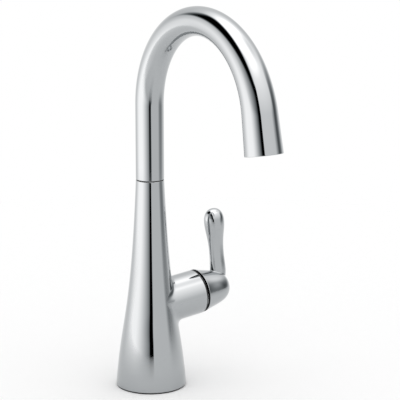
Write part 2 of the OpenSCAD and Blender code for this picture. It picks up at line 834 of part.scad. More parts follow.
// Dark trim over the bonnet: a zone of a ball round the stem's pivot
module bonnet_cap() {
    cap_gap = 0.85;
    cap_r = cavity_r - cap_gap;
    cap_wall = 1.5;
    lip_r = housing_r - 1;
    opening_r = 14.5;
    color(DARK) along_valve()
    difference() {
        intersection() {
            translate([0, 0, pivot_at]) sphere(r = cap_r, $fn = 96);
            translate([0, 0, cup_end]) cylinder(r = lip_r, h = cap_r);
        }
        translate([0, 0, pivot_at]) sphere(r = cap_r - cap_wall, $fn = 96);
        translate([0, 0, cup_end - through]) cylinder(r = opening_r, h = cap_r);
        translate([0, 0, cup_end - through])
            difference() {
                cylinder(r = lip_r + 1, h = housing_l + seat - cup_end + through);
                cylinder(r = core_r - 0.2, h = housing_l + seat - cup_end + through);
            }
    }
}

// ---- Handle ----

// The dome is turned, on an axis that hangs a little below the housing's
module dome() {
    lead = 1.5;
    outline = [for (i = [0:dome_steps]) let (p = bezier(dome_curve, i / dome_steps)) [p.y, p.x]];
    along_valve()
    intersection() {
        translate([0, 0, rim_at]) rotate([0, dome_tilt, 0]) rotate_extrude()
            polygon(concat([[0, -lead], [housing_r + lead * dome_slope, -lead]], outline));
        translate([0, 0, rim_at]) cylinder(r = 2 * housing_r, h = 2 * dome_l);
    }
}

// Half widths of the lever, [along the axis, across it], at a height above the axis
function lever_half(w) =
    let (foot_h = 13,
         sunk_foot = lever_foot / 2 + [-1.5, 1],
         swell_power = 1.3,
         bulb_power = 2.3,
         u = (w - lever_bulb_h) / (lever_l - lever_bulb_h))
    w < foot_h ? mix(sunk_foot, lever_foot / 2, ease((w + 2) / (foot_h + 2))) :
    w < lever_neck_h ? mix(lever_foot, lever_neck, ease((w - foot_h) / (lever_neck_h - foot_h))) / 2 :
    w < lever_bulb_h ? mix(lever_neck, lever_bulb,
        ease(pow((w - lever_neck_h) / (lever_bulb_h - lever_neck_h), swell_power))) / 2 :
    lever_bulb / 2 * pow(max(1 - pow(u, bulb_power), 0), 1 / bulb_power);

module lever() {
    low = -2;
    shift = 1.4;
    heights = concat(
        [for (i = [0:lever_steps - 8]) mix(low, lever_bulb_h, i / (lever_steps - 8))],
        [for (i = [1:8]) mix(lever_bulb_h, lever_l, sin(90 * i / 8.15))]);
    loft([for (w = heights)
        let (half = lever_half(w), at = lever_at - shift * (1 - ease((w + 2) / 15)))
        [for (k = [0:lever_sides - 1])
            let (turn = 360 * k / lever_sides)
            valve_point(at + half.x * cos(turn), w, half.y * sin(turn))]]);
}

module handle() {
    socket_half = stem_w / 2 + slip;
    lap = 2;
    color(CHROME)
    difference() {
        union() {
            dome();
            lever();
        }
        along_valve() {
            translate([0, 0, pivot_at]) sphere(r = cavity_r, $fn = 96);
            translate([-socket_half, -socket_half, pivot_at + cavity_r - lap])
                cube([2 * socket_half, 2 * socket_half, stem_end + seat - pivot_at - cavity_r + lap]);
            translate([0, 0, screw_at]) rotate([0, 90, 0]) cylinder(r = screw_r + slip, h = housing_r + through);
        }
    }
}

// Set screw from underneath, against the stem's flat
module handle_screw() {
    key_flats = set_screw_d / 2;
    key_depth = 2.5;
    color(STEEL) along_valve() translate([stem_w / 2 + slip, 0, screw_at]) rotate([0, 90, 0])
    difference() {
        cylinder(r = screw_r, h = screw_l, $fn = 32);
        translate([0, 0, screw_l - key_depth])
            cylinder(d = key_flats / cos(30), h = key_depth + through, $fn = 6);
    }
}

body_shell();
base_gasket();
mounting_shank();
deck_washer();
steel_washer();
mounting_nut();
valve_body();
hot_inlet_tube();
cold_inlet_tube();
outlet_riser();
glide_ring();
spout_tube();
spout_hub();
spout_o_rings();
snap_ring();
aerator_seal();
aerator_housing();
aerator_core();
aerator_screen();
cartridge_base();
port_seals();
base_seal();
fixed_disc();
moving_disc();
disc_carrier();
cartridge_sleeve();
rotor();
stem_pin();
stem();
limit_ring();
bonnet_nut();
bonnet_cap();
handle();
handle_screw();
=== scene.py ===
"""Looks of a gooseneck bar faucet with a side lever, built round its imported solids."""

import json
import logging
import math
from dataclasses import dataclass, field
from enum import Enum
from typing import Callable, Sequence

import bmesh
import bpy
import numpy as np
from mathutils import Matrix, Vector


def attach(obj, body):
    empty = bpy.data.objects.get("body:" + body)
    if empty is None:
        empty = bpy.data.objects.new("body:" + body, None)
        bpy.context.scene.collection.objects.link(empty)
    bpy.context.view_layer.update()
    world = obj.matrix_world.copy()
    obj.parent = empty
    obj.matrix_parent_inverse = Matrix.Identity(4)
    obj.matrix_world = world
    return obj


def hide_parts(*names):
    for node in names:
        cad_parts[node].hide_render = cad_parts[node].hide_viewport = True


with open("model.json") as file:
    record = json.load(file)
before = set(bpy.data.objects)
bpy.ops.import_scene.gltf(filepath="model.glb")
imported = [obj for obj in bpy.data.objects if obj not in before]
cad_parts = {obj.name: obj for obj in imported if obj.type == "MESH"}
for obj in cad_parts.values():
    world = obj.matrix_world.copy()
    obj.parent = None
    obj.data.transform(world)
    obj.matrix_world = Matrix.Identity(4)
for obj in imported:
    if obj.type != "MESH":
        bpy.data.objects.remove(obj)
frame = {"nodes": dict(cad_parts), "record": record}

logging.basicConfig(level=logging.INFO, format="%(message)s")
log = logging.getLogger("faucet")

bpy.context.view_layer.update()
MM = 0.001
WELD_M = 2e-6
# Angles from which an edge stays crisp: in general, and on a thread or a wire
CRISP_DEG, THREAD_CRISP_DEG, WIRE_CRISP_DEG = 32.0, 40.0, 60.0
# Longest rounding as a share of its side, and where its support points lie
ROUNDING_SHARE, SUPPORT = 0.3, 1.5
Array = np.ndarray
Number = float | np.ndarray
Outline = Sequence[tuple[float, float]]


# ---------------------------------------------------------------- sums and curves

def mix(a: Number, b: Number, t: Number) -> Number:
    """The value a share t of the way from a to b.

    Args:
        a: Value at t = 0.
        b: Value at t = 1.
        t: Share, a number or an array.

    Returns:
        The value between.
    """
    return a + (b - a) * t


def ease(t: Number) -> Number:
    """Rises from 0 to 1 on half a cosine wave, and stays there outside."""
    return (1 - np.cos(np.pi * np.clip(t, 0, 1))) / 2


def bezier(control: Sequence[Sequence[float]], t: Array) -> Array:
    """Points of a cubic curve.

    Args:
        control: Its four control points.
        t: Where along it, from 0 to 1.

    Returns:
        One row for each t.
    """
    c = np.asarray(control, float)
    t = np.asarray(t, float)[:, None]
    return ((1 - t) ** 3 * c[0] + 3 * (1 - t) ** 2 * t * c[1]
            + 3 * (1 - t) * t ** 2 * c[2] + t ** 3 * c[3])


def rounded(corners: Outline, edge: float, closed: bool = True, steps: int = 4) -> list:
    """An outline whose corners are rounded, with a support point on each side of a corner.

    Args:
        corners: Corner points.
        edge: How far from the corner the rounding starts.
        closed: Whether the last corner joins the first.
        steps: Segments in each rounding.

    Returns:
        The finer outline. An open one keeps its two end points.
    """
    points = [np.asarray(c, float) for c in corners]
    n = len(points)
    line: list = [] if closed else [points[0]]
    for i in range(n) if closed else range(1, n - 1):
        here = points[i]
        back, ahead = points[i - 1] - here, points[(i + 1) % n] - here
        a, b = (side / np.linalg.norm(side)
                * min(edge, np.linalg.norm(side) * ROUNDING_SHARE) for side in (back, ahead))
        line.append(here + SUPPORT * a)
        for k in range(steps + 1):
            t = k / steps
            line.append(here + a * (1 - t) ** 2 + b * t ** 2)
        line.append(here + SUPPORT * b)
    if not closed:
        line.append(points[-1])
    return [tuple(p) for p in line]


def circle(sides: int) -> Array:
    """Even angles round a circle, in radians."""
    return np.linspace(0, 2 * np.pi, sides, endpoint=False)


def hexagon(theta: Array, flats: float) -> Array:
    """Radii of a hexagon across its flats, at angles in radians."""
    return flats / 2 / np.cos((theta + math.pi / 6) % (math.pi / 3) - math.pi / 6)


def round_z(r: Number, theta: Array, z: Number) -> Array:
    """Points at radii, angles and heights about the Z axis."""
    return np.stack([r * np.cos(theta), r * np.sin(theta), z + 0 * theta], -1)


# ---------------------------------------------------------------- meshes

class Skin:
    """Grids of points that are sewn into one closed mesh."""

    def __init__(self) -> None:
        """Starts with no points."""
        self.points: list[Array] = []
        self.faces: list[tuple[int, ...]] = []
        self.count = 0

    def grid(self, rows: Array, wrap: bool = True) -> None:
        """Adds quads between rows of points.

        Args:
            rows: An array of rows, columns and coordinates, in millimetres.
            wrap: Whether the last column joins the first.
        """
        m, n = rows.shape[:2]
        start = self.count
        self.points.append(rows.reshape(-1, 3))
        self.count += m * n
        last = n if wrap else n - 1
        for i in range(m - 1):
            a, b = start + i * n, start + (i + 1) * n
            self.faces.extend((a + j, a + (j + 1) % n, b + (j + 1) % n, b + j)
                              for j in range(last))

    def cap(self, ring: Array) -> None:
        """Closes a ring with a fan of triangles to its middle.

        Args:
            ring: The ring's points.
        """
        n = len(ring)
        start = self.count
        self.points.append(np.vstack([ring, ring.mean(0)]))
        self.count += n + 1
        self.faces.extend((start + j, start + (j + 1) % n, start + n) for j in range(n))

    def rod(self, rows: Array) -> None:
        """Adds rows of points round an axis, closed at both ends.

        Args:
            rows: As for grid.
        """
        self.grid(rows)
        self.cap(rows[0])
        self.cap(rows[-1])

    def mesh(self, name: str) -> bpy.types.Mesh:
        """The grids as one mesh, not yet sewn.

        Args:
            name: The mesh's name.

        Returns:
            The mesh, in metres.
        """
        mesh = bpy.data.meshes.new(name)
        mesh.from_pydata((np.vstack(self.points) * MM).tolist(), [], self.faces)
        return mesh

    def piece(self, name: str, sharp: float = CRISP_DEG) -> bpy.types.Object:
        """Sews the grids together into an object.

        Args:
            name: The object's name.
            sharp: Angle in degrees from which an edge stays crisp.

        Returns:
            The object, at the origin, with its place in its mesh.
        """
        return finished(name, self.mesh(name), sharp)


def sew(mesh: bpy.types.Mesh) -> int:
    """Welds a mesh's seams and turns its faces outwards.

    Args:
        mesh: The mesh, in metres.

    Returns:
        Number of edges that are left open.
    """
    work = bmesh.new()
    work.from_mesh(mesh)
    bmesh.ops.remove_doubles(work, verts=work.verts, dist=WELD_M)
    bmesh.ops.recalc_face_normals(work, faces=work.faces)
    open_edges = sum(1 for edge in work.edges if not edge.is_manifold)
    work.to_mesh(mesh)
    work.free()
    return open_edges


def finished(name: str, mesh: bpy.types.Mesh, sharp: float = CRISP_DEG) -> bpy.types.Object:
    """Welds a closed mesh, turns its faces outwards and shades it smooth up to an angle.

    Args:
        name: The object's name.
        mesh: The mesh, in metres.
        sharp: Angle in degrees from which an edge stays crisp.

    Returns:
        The new object, linked to the scene.
    """
    open_edges = sew(mesh)
    mesh.shade_smooth()
    mesh.set_sharp_from_angle(angle=math.radians(sharp))
    piece = bpy.data.objects.new(name, mesh)
    bpy.context.scene.collection.objects.link(piece)
    log.info("%s: %d faces, %d open edges", name, len(mesh.polygons), open_edges)
    return piece


def turned(outline: Outline, sides: int = 96) -> Array:
    """Rows of points for an outline turned about the Z axis.

    Args:
        outline: Points (radius, height) in millimetres.
        sides: Points round.

    Returns:
        Array of rows for Skin.grid.
    """
    line = np.asarray(outline, float)
    return round_z(line[:, :1], circle(sides), line[:, 1:])


def turned_piece(name: str, corners: Outline, edge: float, sides: int = 96,
                 place: Callable[[Array], Array] | None = None) -> bpy.types.Object:
    """A closed outline with rounded corners, turned about an axis, such as a washer.

    Args:
        name: The object's name.
        corners: Corners of the outline as (radius, height).
        edge: How far from a corner its rounding starts.
        sides: Points round.
        place: Moves the points from the turning frame to the part's frame.

    Returns:
        The new object.
    """
    line = rounded(corners, edge)
    rows = turned(line + [line[0]], sides)
    skin = Skin()
    skin.grid(place(rows) if place else rows)
    return skin.piece(name)


# ---------------------------------------------------------------- finishes

def linear(hex_colour: str) -> tuple[float, float, float, float]:
    """An sRGB hex colour as Blender's linear one.

    Args:
        hex_colour: Such as #FFFFFF.

    Returns:
        Linear red, green, blue and an alpha of 1.
    """
    channels = [int(hex_colour[i:i + 2], 16) / 255 for i in (1, 3, 5)]
    return tuple(c / 12.92 if c <= 0.04045 else ((c + 0.055) / 1.055) ** 2.4
                 for c in channels) + (1.0,)


def add(tree: bpy.types.NodeTree, kind: str, inputs: dict | None = None, **settings
        ) -> bpy.types.Node:
    """Adds a node with its settings and links.

    Args:
        tree: The tree that gets the node.
        kind: The node's type.
        inputs: Values, or sockets to link from, by input name or number.
        **settings: Properties of the node.

    Returns:
        The new node.
    """
    node = tree.nodes.new(kind)
    for key, value in settings.items():
        setattr(node, key, value)
    for key, value in (inputs or {}).items():
        if isinstance(value, bpy.types.NodeSocket):
            tree.links.new(value, node.inputs[key])
        else:
            node.inputs[key].default_value = value
    return node


class Grain(Enum):
    """How a surface was made, which sets the pattern in its gloss and relief."""

    POLISHED = "buffed, with a faint waviness"
    TURNED = "cut on a lathe, with fine rings"
    MOULDED = "moulded, with a fine stipple"
    LAPPED = "ground flat, with a very fine stipple"


# How a lathe's rings stretch the noise, and how many grains a cloud in the gloss spans
LATHE_STRETCH, CLOUD_GRAINS = (0.05, 0.05, 1.0), 12


@dataclass(frozen=True)
class Finish:
    """A material by its common name, with what its making gives the eye."""

    name: str
    colour: str
    shade: str
    roughness: float
    grain: Grain
    grain_mm: float
    relief_mm: float
    metal: bool = False
    ior: float = 1.5
    gloss_spread: float = 0.03

    def material(self) -> bpy.types.Material:
        """Builds the node material, or gives the one already built.

        Returns:
            The material.
        """
        known = bpy.data.materials.get(self.name)
        if known:
            return known
        material = bpy.data.materials.new(self.name)
        material.use_nodes = True
        tree = material.node_tree
        tree.nodes.clear()
        place = add(tree, "ShaderNodeTexCoord").outputs["Object"]
        scale = 1 / (self.grain_mm * MM)
        stretch = LATHE_STRETCH if self.grain is Grain.TURNED else (1, 1, 1)
        spread = add(tree, "ShaderNodeMapping", {"Vector": place, "Scale": stretch})
        fine = add(tree, "ShaderNodeTexNoise",
                   {"Vector": spread.outputs[0], "Scale": scale, "Detail": 3.0,
                    "Roughness": 0.55})
        cloud = add(tree, "ShaderNodeTexNoise",
                    {"Vector": place, "Scale": scale / CLOUD_GRAINS, "Detail": 2.0})
        tone = add(tree, "ShaderNodeMix",
                   {0: cloud.outputs[0], 6: linear(self.colour), 7: linear(self.shade)},
                   data_type="RGBA")
        gloss = add(tree, "ShaderNodeMapRange",
                    {"Value": cloud.outputs[0], "From Min": 0.3, "From Max": 0.7,
                     "To Min": max(self.roughness - self.gloss_spread, 0.0),
                     "To Max": self.roughness + self.gloss_spread})
        relief = add(tree, "ShaderNodeBump",
                     {"Height": fine.outputs[0], "Strength": 1.0,
                      "Distance": self.relief_mm * MM})
        shader = add(tree, "ShaderNodeBsdfPrincipled",
                     {"Base Color": tone.outputs[2], "Roughness": gloss.outputs[0],
                      "Normal": relief.outputs[0], "Metallic": 1.0 if self.metal else 0.0})
        if not self.metal:
            shader.inputs["IOR"].default_value = self.ior
        add(tree, "ShaderNodeOutputMaterial", {"Surface": shader.outputs[0]})
        return material


# ---------------------------------------------------------------- the part's frame

@dataclass(frozen=True)
class ValveAxis:
    """Frame of the side valve: d along its axis, w upwards, y across."""

    height: float = 69.8
    rise: float = 5.4
    pivot: float = 26.0

    @property
    def cos(self) -> float:
        """Cosine of the rise."""
        return math.cos(math.radians(self.rise))

    @property
    def sin(self) -> float:
        """Sine of the rise."""
        return math.sin(math.radians(self.rise))

    def point(self, d: Number, w: Number, y: Number) -> Array:
        """Places beside the valve's axis, in the part's frame.

        Args:
            d: Distances along the axis, in millimetres.
            w: Distances upwards from it.
            y: Distances across it.

        Returns:
            The points, in millimetres.
        """
        d, w, y = np.broadcast_arrays(d, w, y)
        return np.stack([d * self.cos - w * self.sin, y,
                         self.height + d * self.sin + w * self.cos], -1)

    def local(self, points: Array) -> Array:
        """Points of the part's frame as d, w, y.

        Args:
            points: One point in each row, in millimetres.

        Returns:
            The same points in the valve's frame.
        """
        x, y, z = points[..., 0], points[..., 1], points[..., 2] - self.height
        return np.stack([x * self.cos + z * self.sin, z * self.cos - x * self.sin, y], -1)

    def turned(self, rows: Array) -> Array:
        """Rows turned about Z, with Z laid along the valve's axis."""
        return self.point(rows[..., 2], -rows[..., 0], rows[..., 1])


VALVE = ValveAxis()


class Part:
    """A sub-assembly: it builds its pieces and says what each stands for."""

    def done(self, piece: bpy.types.Object, body: str, finish: Finish, slot: str, *nodes: str
             ) -> bpy.types.Object:
        """Gives a piece its finish and ties it to its body.

        Args:
            piece: The piece.
            body: The body it rides on.
            finish: Its finish.
            slot: The record's material slot; not used.
            *nodes: Solids that it stands for.

        Returns:
            The piece.
        """
        piece.data.materials.clear()
        piece.data.materials.append(finish.material())
        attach(piece, body)
        if nodes:
            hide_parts(*nodes)
        log.info("%s rides on %s, for %s", piece.name, body, ", ".join(nodes) or "no solid")
        return piece


# ---------------------------------------------------------------- body

@dataclass
class BodyCasting(Part):
    """The trumpet-shaped body and its side housing, one casting with real walls."""

    foot_r: float = 30.0
    tube_r: float = 11.9
    seam_h: float = 179.2
    foot_lean: float = 5.0
    foot_reach: float = 62.5
    neck_lean: float = 5.4
    neck_reach: float = 121.0
    wall: float = 2.2
    foot_wall: float = 3.0
    gasket_t: float = 1.2
    web: tuple[float, float] = (4.0, 12.0)
    web_hole_r: float = 15.0
    neck_depth: float = 30.0
    neck_hole_r: float = 10.2
    housing_r: float = 19.2
    housing_l: float = 45.6
    bore_r: float = 17.1
    fillet_top: float = 3.5
    fillet_low: float = 7.0
    fillet_side: float = 0.8
    edge: float = 0.35
    half_columns: int = 40
    column_deg: float = 2.0
    patch_z: tuple[float, float] = (34.0, 106.0)
    patch_rings: int = 27
    patch_crowding: float = 1.25
    rim_band: float = 0.7
    bore_band: float = 3.0
    foot_band: float = 2.4
    seam_band: float = 1.2
    root_aim: tuple[float, float] = (22.0, 70.5)
    root_guess: float = 18.0
    root_rounds: int = 14
    end_edge: float = 0.3
    end_sides: int = 180
    table: Array = field(default=None, repr=False)

    def __post_init__(self) -> None:
        """Tabulates the outline as radius over height."""
        control = [(self.foot_r, self.gasket_t), (self.foot_r - self.foot_lean, self.foot_reach),
                   (self.tube_r + self.neck_lean, self.seam_h - self.neck_reach),
                   (self.tube_r, self.seam_h)]
        self.table = bezier(control, np.linspace(0, 1, 6001))

    def radius(self, z: Number, inset: float = 0.0) -> Array:
        """Radius of the body at a height, less an inset."""
        return np.interp(z, self.table[:, 1], self.table[:, 0]) - inset

    def at(self, z: float, inset: float = 0.0) -> tuple[float, float]:
        """Corner of an outline on the body's surface: its radius and height."""
        return float(self.radius(z, inset)), z

    def root(self, rho: Number, phi: Array, inset: float = 0.0) -> Array:
        """Where a line beside the housing's axis leaves the body's surface.

        Args:
            rho: Distance of the line from the axis.
            phi: Its angle from the housing's upper side, in radians.
            inset: Depth of the surface below the body's skin.

        Returns:
            Distance along the housing's axis.
        """
        w, y = rho * np.cos(phi), rho * np.sin(phi)
        d = np.full(np.shape(w), self.root_guess)
        for _ in range(self.root_rounds):
            r = self.radius(VALVE.point(d, w, y)[..., 2], inset)
            d = (np.sqrt(np.maximum(r * r - y * y, 0.01)) + w * VALVE.sin) / VALVE.cos
        return d

    def border(self) -> tuple[Array, Array]:
        """Edge of the patch round the housing's root, as angles and heights.

        Returns:
            Angle round the body in radians, and height, from the top middle towards +Y.
        """
        k, (low, high) = self.half_columns, self.patch_z
        columns, rows = np.arange(k + 1.0), np.arange(high, low - 0.5, -1)
        theta = np.concatenate([columns, np.full(len(rows) - 2, k), columns[::-1],
                                -columns[1:], np.full(len(rows) - 2, -k), -columns[:0:-1]])
        z = np.concatenate([np.full(k + 1, high), rows[1:-1], np.full(k + 1, low),
                            np.full(k, low), rows[-2:0:-1], np.full(k, high)])
        return np.radians(theta * self.column_deg), z

    def wrapped(self, theta: Array, z: Array, inset: float) -> Array:
        """Points on the body's surface, or below it by an inset."""
        return round_z(self.radius(z, inset), theta, z)

    def side(self, skin: Skin, heights: Array, rho: Array, phi: Array, inset: float) -> None:
        """One whole side of the body's wall, with a hole round the housing.

        Args:
            skin: Gets the grids.
            heights: Heights of the rows, the patch's own among them.
            rho: Radius of the hole about the housing's axis.
            phi: Angles of the hole's points.
            inset: Depth of this side below the body's skin.
        """
        low, high = self.patch_z
        columns = round(360 / self.column_deg)
        round_theta = np.radians(np.arange(columns) * self.column_deg)
        back = np.radians(np.arange(self.half_columns, columns - self.half_columns + 1)
                          * self.column_deg)
        for rows in (heights[heights <= low], heights[heights >= high]):
            skin.grid(self.wrapped(round_theta[None, :], rows[:, None], inset))
        rows = heights[(heights >= low) & (heights <= high)]
        skin.grid(self.wrapped(back[None, :], rows[:, None], inset), wrap=False)
        hole = VALVE.point(self.root(rho, phi, inset), rho * np.cos(phi), rho * np.sin(phi))
        edge_theta, edge_z = self.border()
        share = (np.linspace(0, 1, self.patch_rings) ** self.patch_crowding)[:, None]
        theta = mix(np.arctan2(hole[:, 1], hole[:, 0])[None, :], edge_theta[None, :], share)
        patch = self.wrapped(theta, mix(hole[:, 2][None, :], edge_z[None, :], share), inset)
        patch[0] = hole
        skin.grid(patch)

    def build(self) -> bpy.types.Object:
        """Builds the casting.

        Returns:
            The new piece.
        """
        skin = Skin()
        edge_theta, edge_z = self.border()
        aim_r, aim_h = self.root_aim
        phi = np.arctan2(aim_r * edge_theta, edge_z - aim_h)
        full = mix(self.fillet_low, self.fillet_top, (1 + np.cos(phi)) / 2)
        size = mix(self.fillet_side, full, np.abs(np.cos(phi)) ** 1.5)
        outer = self.housing_r + size
        on_body = self.root(outer, phi)
        probe = 0.05
        slope = (self.root(outer + probe, phi) - self.root(outer - probe, phi)) / (2 * probe)
        corner = on_body - slope * size
        t = np.linspace(0, 1, 11)[:, None]
        rho = mix(self.housing_r, outer[None, :], t * t)
        d = mix(mix(corner + size, corner, t), mix(corner, on_body, t), t)
        start, rim = corner + size, self.housing_l
        along = mix(start[None, :], rim - self.rim_band, np.linspace(0, 1, 24)[:, None])
        front = rounded([(self.housing_r, rim - self.rim_band), (self.housing_r, rim),
                         (self.bore_r, rim), (self.bore_r, rim - self.bore_band)],
                        self.edge, closed=False)
        inner = self.root(self.bore_r, phi, self.wall)
        bore = mix(rim - self.bore_band, inner[None, :], np.linspace(0, 1, 8)[:, None])

        def ring(d_rows: Array, rho_rows: Array) -> Array:
            """Rows of points round the housing's axis."""
            return VALVE.point(d_rows, rho_rows * np.cos(phi), rho_rows * np.sin(phi))

        skin.grid(ring(d[::-1], rho[::-1]))
        skin.grid(ring(along, np.full_like(along, self.housing_r)))
        skin.grid(np.stack([ring(np.full(len(phi), x), np.full(len(phi), r)) for r, x in front]))
        skin.grid(ring(bore, np.full_like(bore, self.bore_r)))

        low, high = self.patch_z
        middle = np.arange(low, high + 0.5)
        top, (web_low, web_top) = self.seam_h - self.neck_depth, self.web
        below_seam = self.seam_h - self.seam_band
        outside = np.concatenate([np.linspace(self.foot_band, low, 24)[:-1], middle,
                                  np.linspace(high, below_seam, 56)[1:]])
        inside = np.concatenate([np.linspace(web_top, low, 12)[:-1], middle,
                                 np.linspace(high, top, 20)[1:]])
        self.side(skin, outside, outer, phi, 0.0)
        self.side(skin, inside, np.full_like(phi, self.bore_r), phi, self.wall)
        foot = [self.at(web_top, self.wall), (self.web_hole_r, web_top),
                (self.web_hole_r, web_low), self.at(web_low, self.foot_wall),
                self.at(self.gasket_t, self.foot_wall), (self.foot_r, self.gasket_t),
                self.at(self.foot_band)]
        neck = [self.at(below_seam), (self.tube_r, self.seam_h),
                (self.neck_hole_r, self.seam_h), (self.neck_hole_r, top),
                self.at(top, self.wall)]
        for line in (foot, neck):
            skin.grid(turned(rounded(line, self.end_edge, closed=False), self.end_sides))
        return self.done(skin.piece("body_casting"), "body", POLISHED_CHROME, "chrome",
                         "body_shell")


# ---------------------------------------------------------------- spout

@dataclass
class Spout(Part):
    """The gooseneck tube, one sweep from the seam to its outlet, with its aerator."""

    tube_r: float = 11.9
    wall: float = 1.2
    low: float = 180.05
    arch_h: float = 243.13
    arch_r: float = 76.9
    sweep_deg: float = 169.6
    outlet_l: float = 30.8
    outlet_r: float = 15.3
    flare_l: float = 143.0
    flare_power: float = 1.6
    pocket_r: float = 14.1
    pocket_l: float = 16.0
    end_band: float = 1.0
    pocket_band: float = 0.2
    edge: float = 0.3
    sides: int = 128

    @property
    def length(self) -> float:
        """Length of the centre line from the arch's foot to the outlet."""
        return self.arch_r * math.radians(self.sweep_deg) + self.outlet_l

    def radius(self, s: Number) -> Array:
        """Outer radius at a length along the centre line."""
        u = np.clip((s - (self.length - self.flare_l)) / self.flare_l, 0, 1)
        return mix(self.tube_r, self.outlet_r, u ** self.flare_power)

    def along(self, line: Array, theta: Array) -> Array:
        """Rows of points round the bent centre line.

        Args:
            line: Rows of (radius, length along the centre line).
            theta: Angles round the tube; 0 is the arch's outer side.

        Returns:
            Array of rows for Skin.grid.
        """
        r, s = line[:, :1], line[:, 1:]
        sweep = math.radians(self.sweep_deg)
        bend = np.clip(s / self.arch_r, 0, sweep)
        ahead = np.minimum(s, 0) + np.maximum(s - self.arch_r * sweep, 0)
        out, across = r * np.cos(theta), r * np.sin(theta)
        y = self.arch_r * (np.cos(bend) - 1) - ahead * np.sin(bend) + out * np.cos(bend)
        z = self.arch_h + self.arch_r * np.sin(bend) + ahead * np.cos(bend) + out * np.sin(bend)
        return np.stack([across, y, z], -1)

    def at_outlet(self, rows: Array) -> Array:
        """Lays rows that are turned about Z into the outlet.

        Args:
            rows: Points whose Z points back up the tube from its end.

        Returns:
            The points in the part's frame.
        """
        tilt = math.radians(self.sweep_deg - 180)
        end = self.along(np.array([[0.0, self.length]]), np.zeros(1))[0, 0]
        x, y, z = rows[..., 0], rows[..., 1], rows[..., 2]
        return np.stack([x + end[0], y * math.cos(tilt) - z * math.sin(tilt) + end[1],
                         y * math.sin(tilt) + z * math.cos(tilt) + end[2]], -1)

    def build(self) -> bpy.types.Object:
        """Builds the tube.

        Returns:
            The new piece.
        """
        start, end = self.low - self.arch_h, self.length
        step_in = end - self.pocket_l
        bend_end, band = end - self.outlet_l, self.end_band
        s_out = np.concatenate([np.linspace(start + band, 0, 24)[:-1],
                                np.linspace(0, bend_end, 150)[:-1],
                                np.linspace(bend_end, end - band, 20)])
        s_in = np.concatenate([np.linspace(step_in - self.pocket_band, bend_end, 8)[:-1],
                               np.linspace(bend_end, 0, 76)[:-1],
                               np.linspace(0, start + band, 10)])
        outer = np.stack([self.radius(s_out), s_out], -1)
        inner = np.stack([self.radius(s_in) - self.wall, s_in], -1)
        mouth = rounded([tuple(outer[-1]), (self.outlet_r, end), (self.pocket_r, end),
                         (self.pocket_r, step_in), tuple(inner[0])], self.edge,
                        closed=False)
        foot = rounded([tuple(inner[-1]), (self.tube_r - self.wall, start),
                        (self.tube_r, start), tuple(outer[0])], self.edge, closed=False)
        theta = circle(self.sides)
        skin = Skin()
        for line in (outer, np.array(mouth), inner, np.array(foot)):
            skin.grid(self.along(line, theta))
        return self.done(skin.piece("gooseneck_tube"), "spout", POLISHED_CHROME, "chrome",
                         "spout_tube")


# ---------------------------------------------------------------- handle

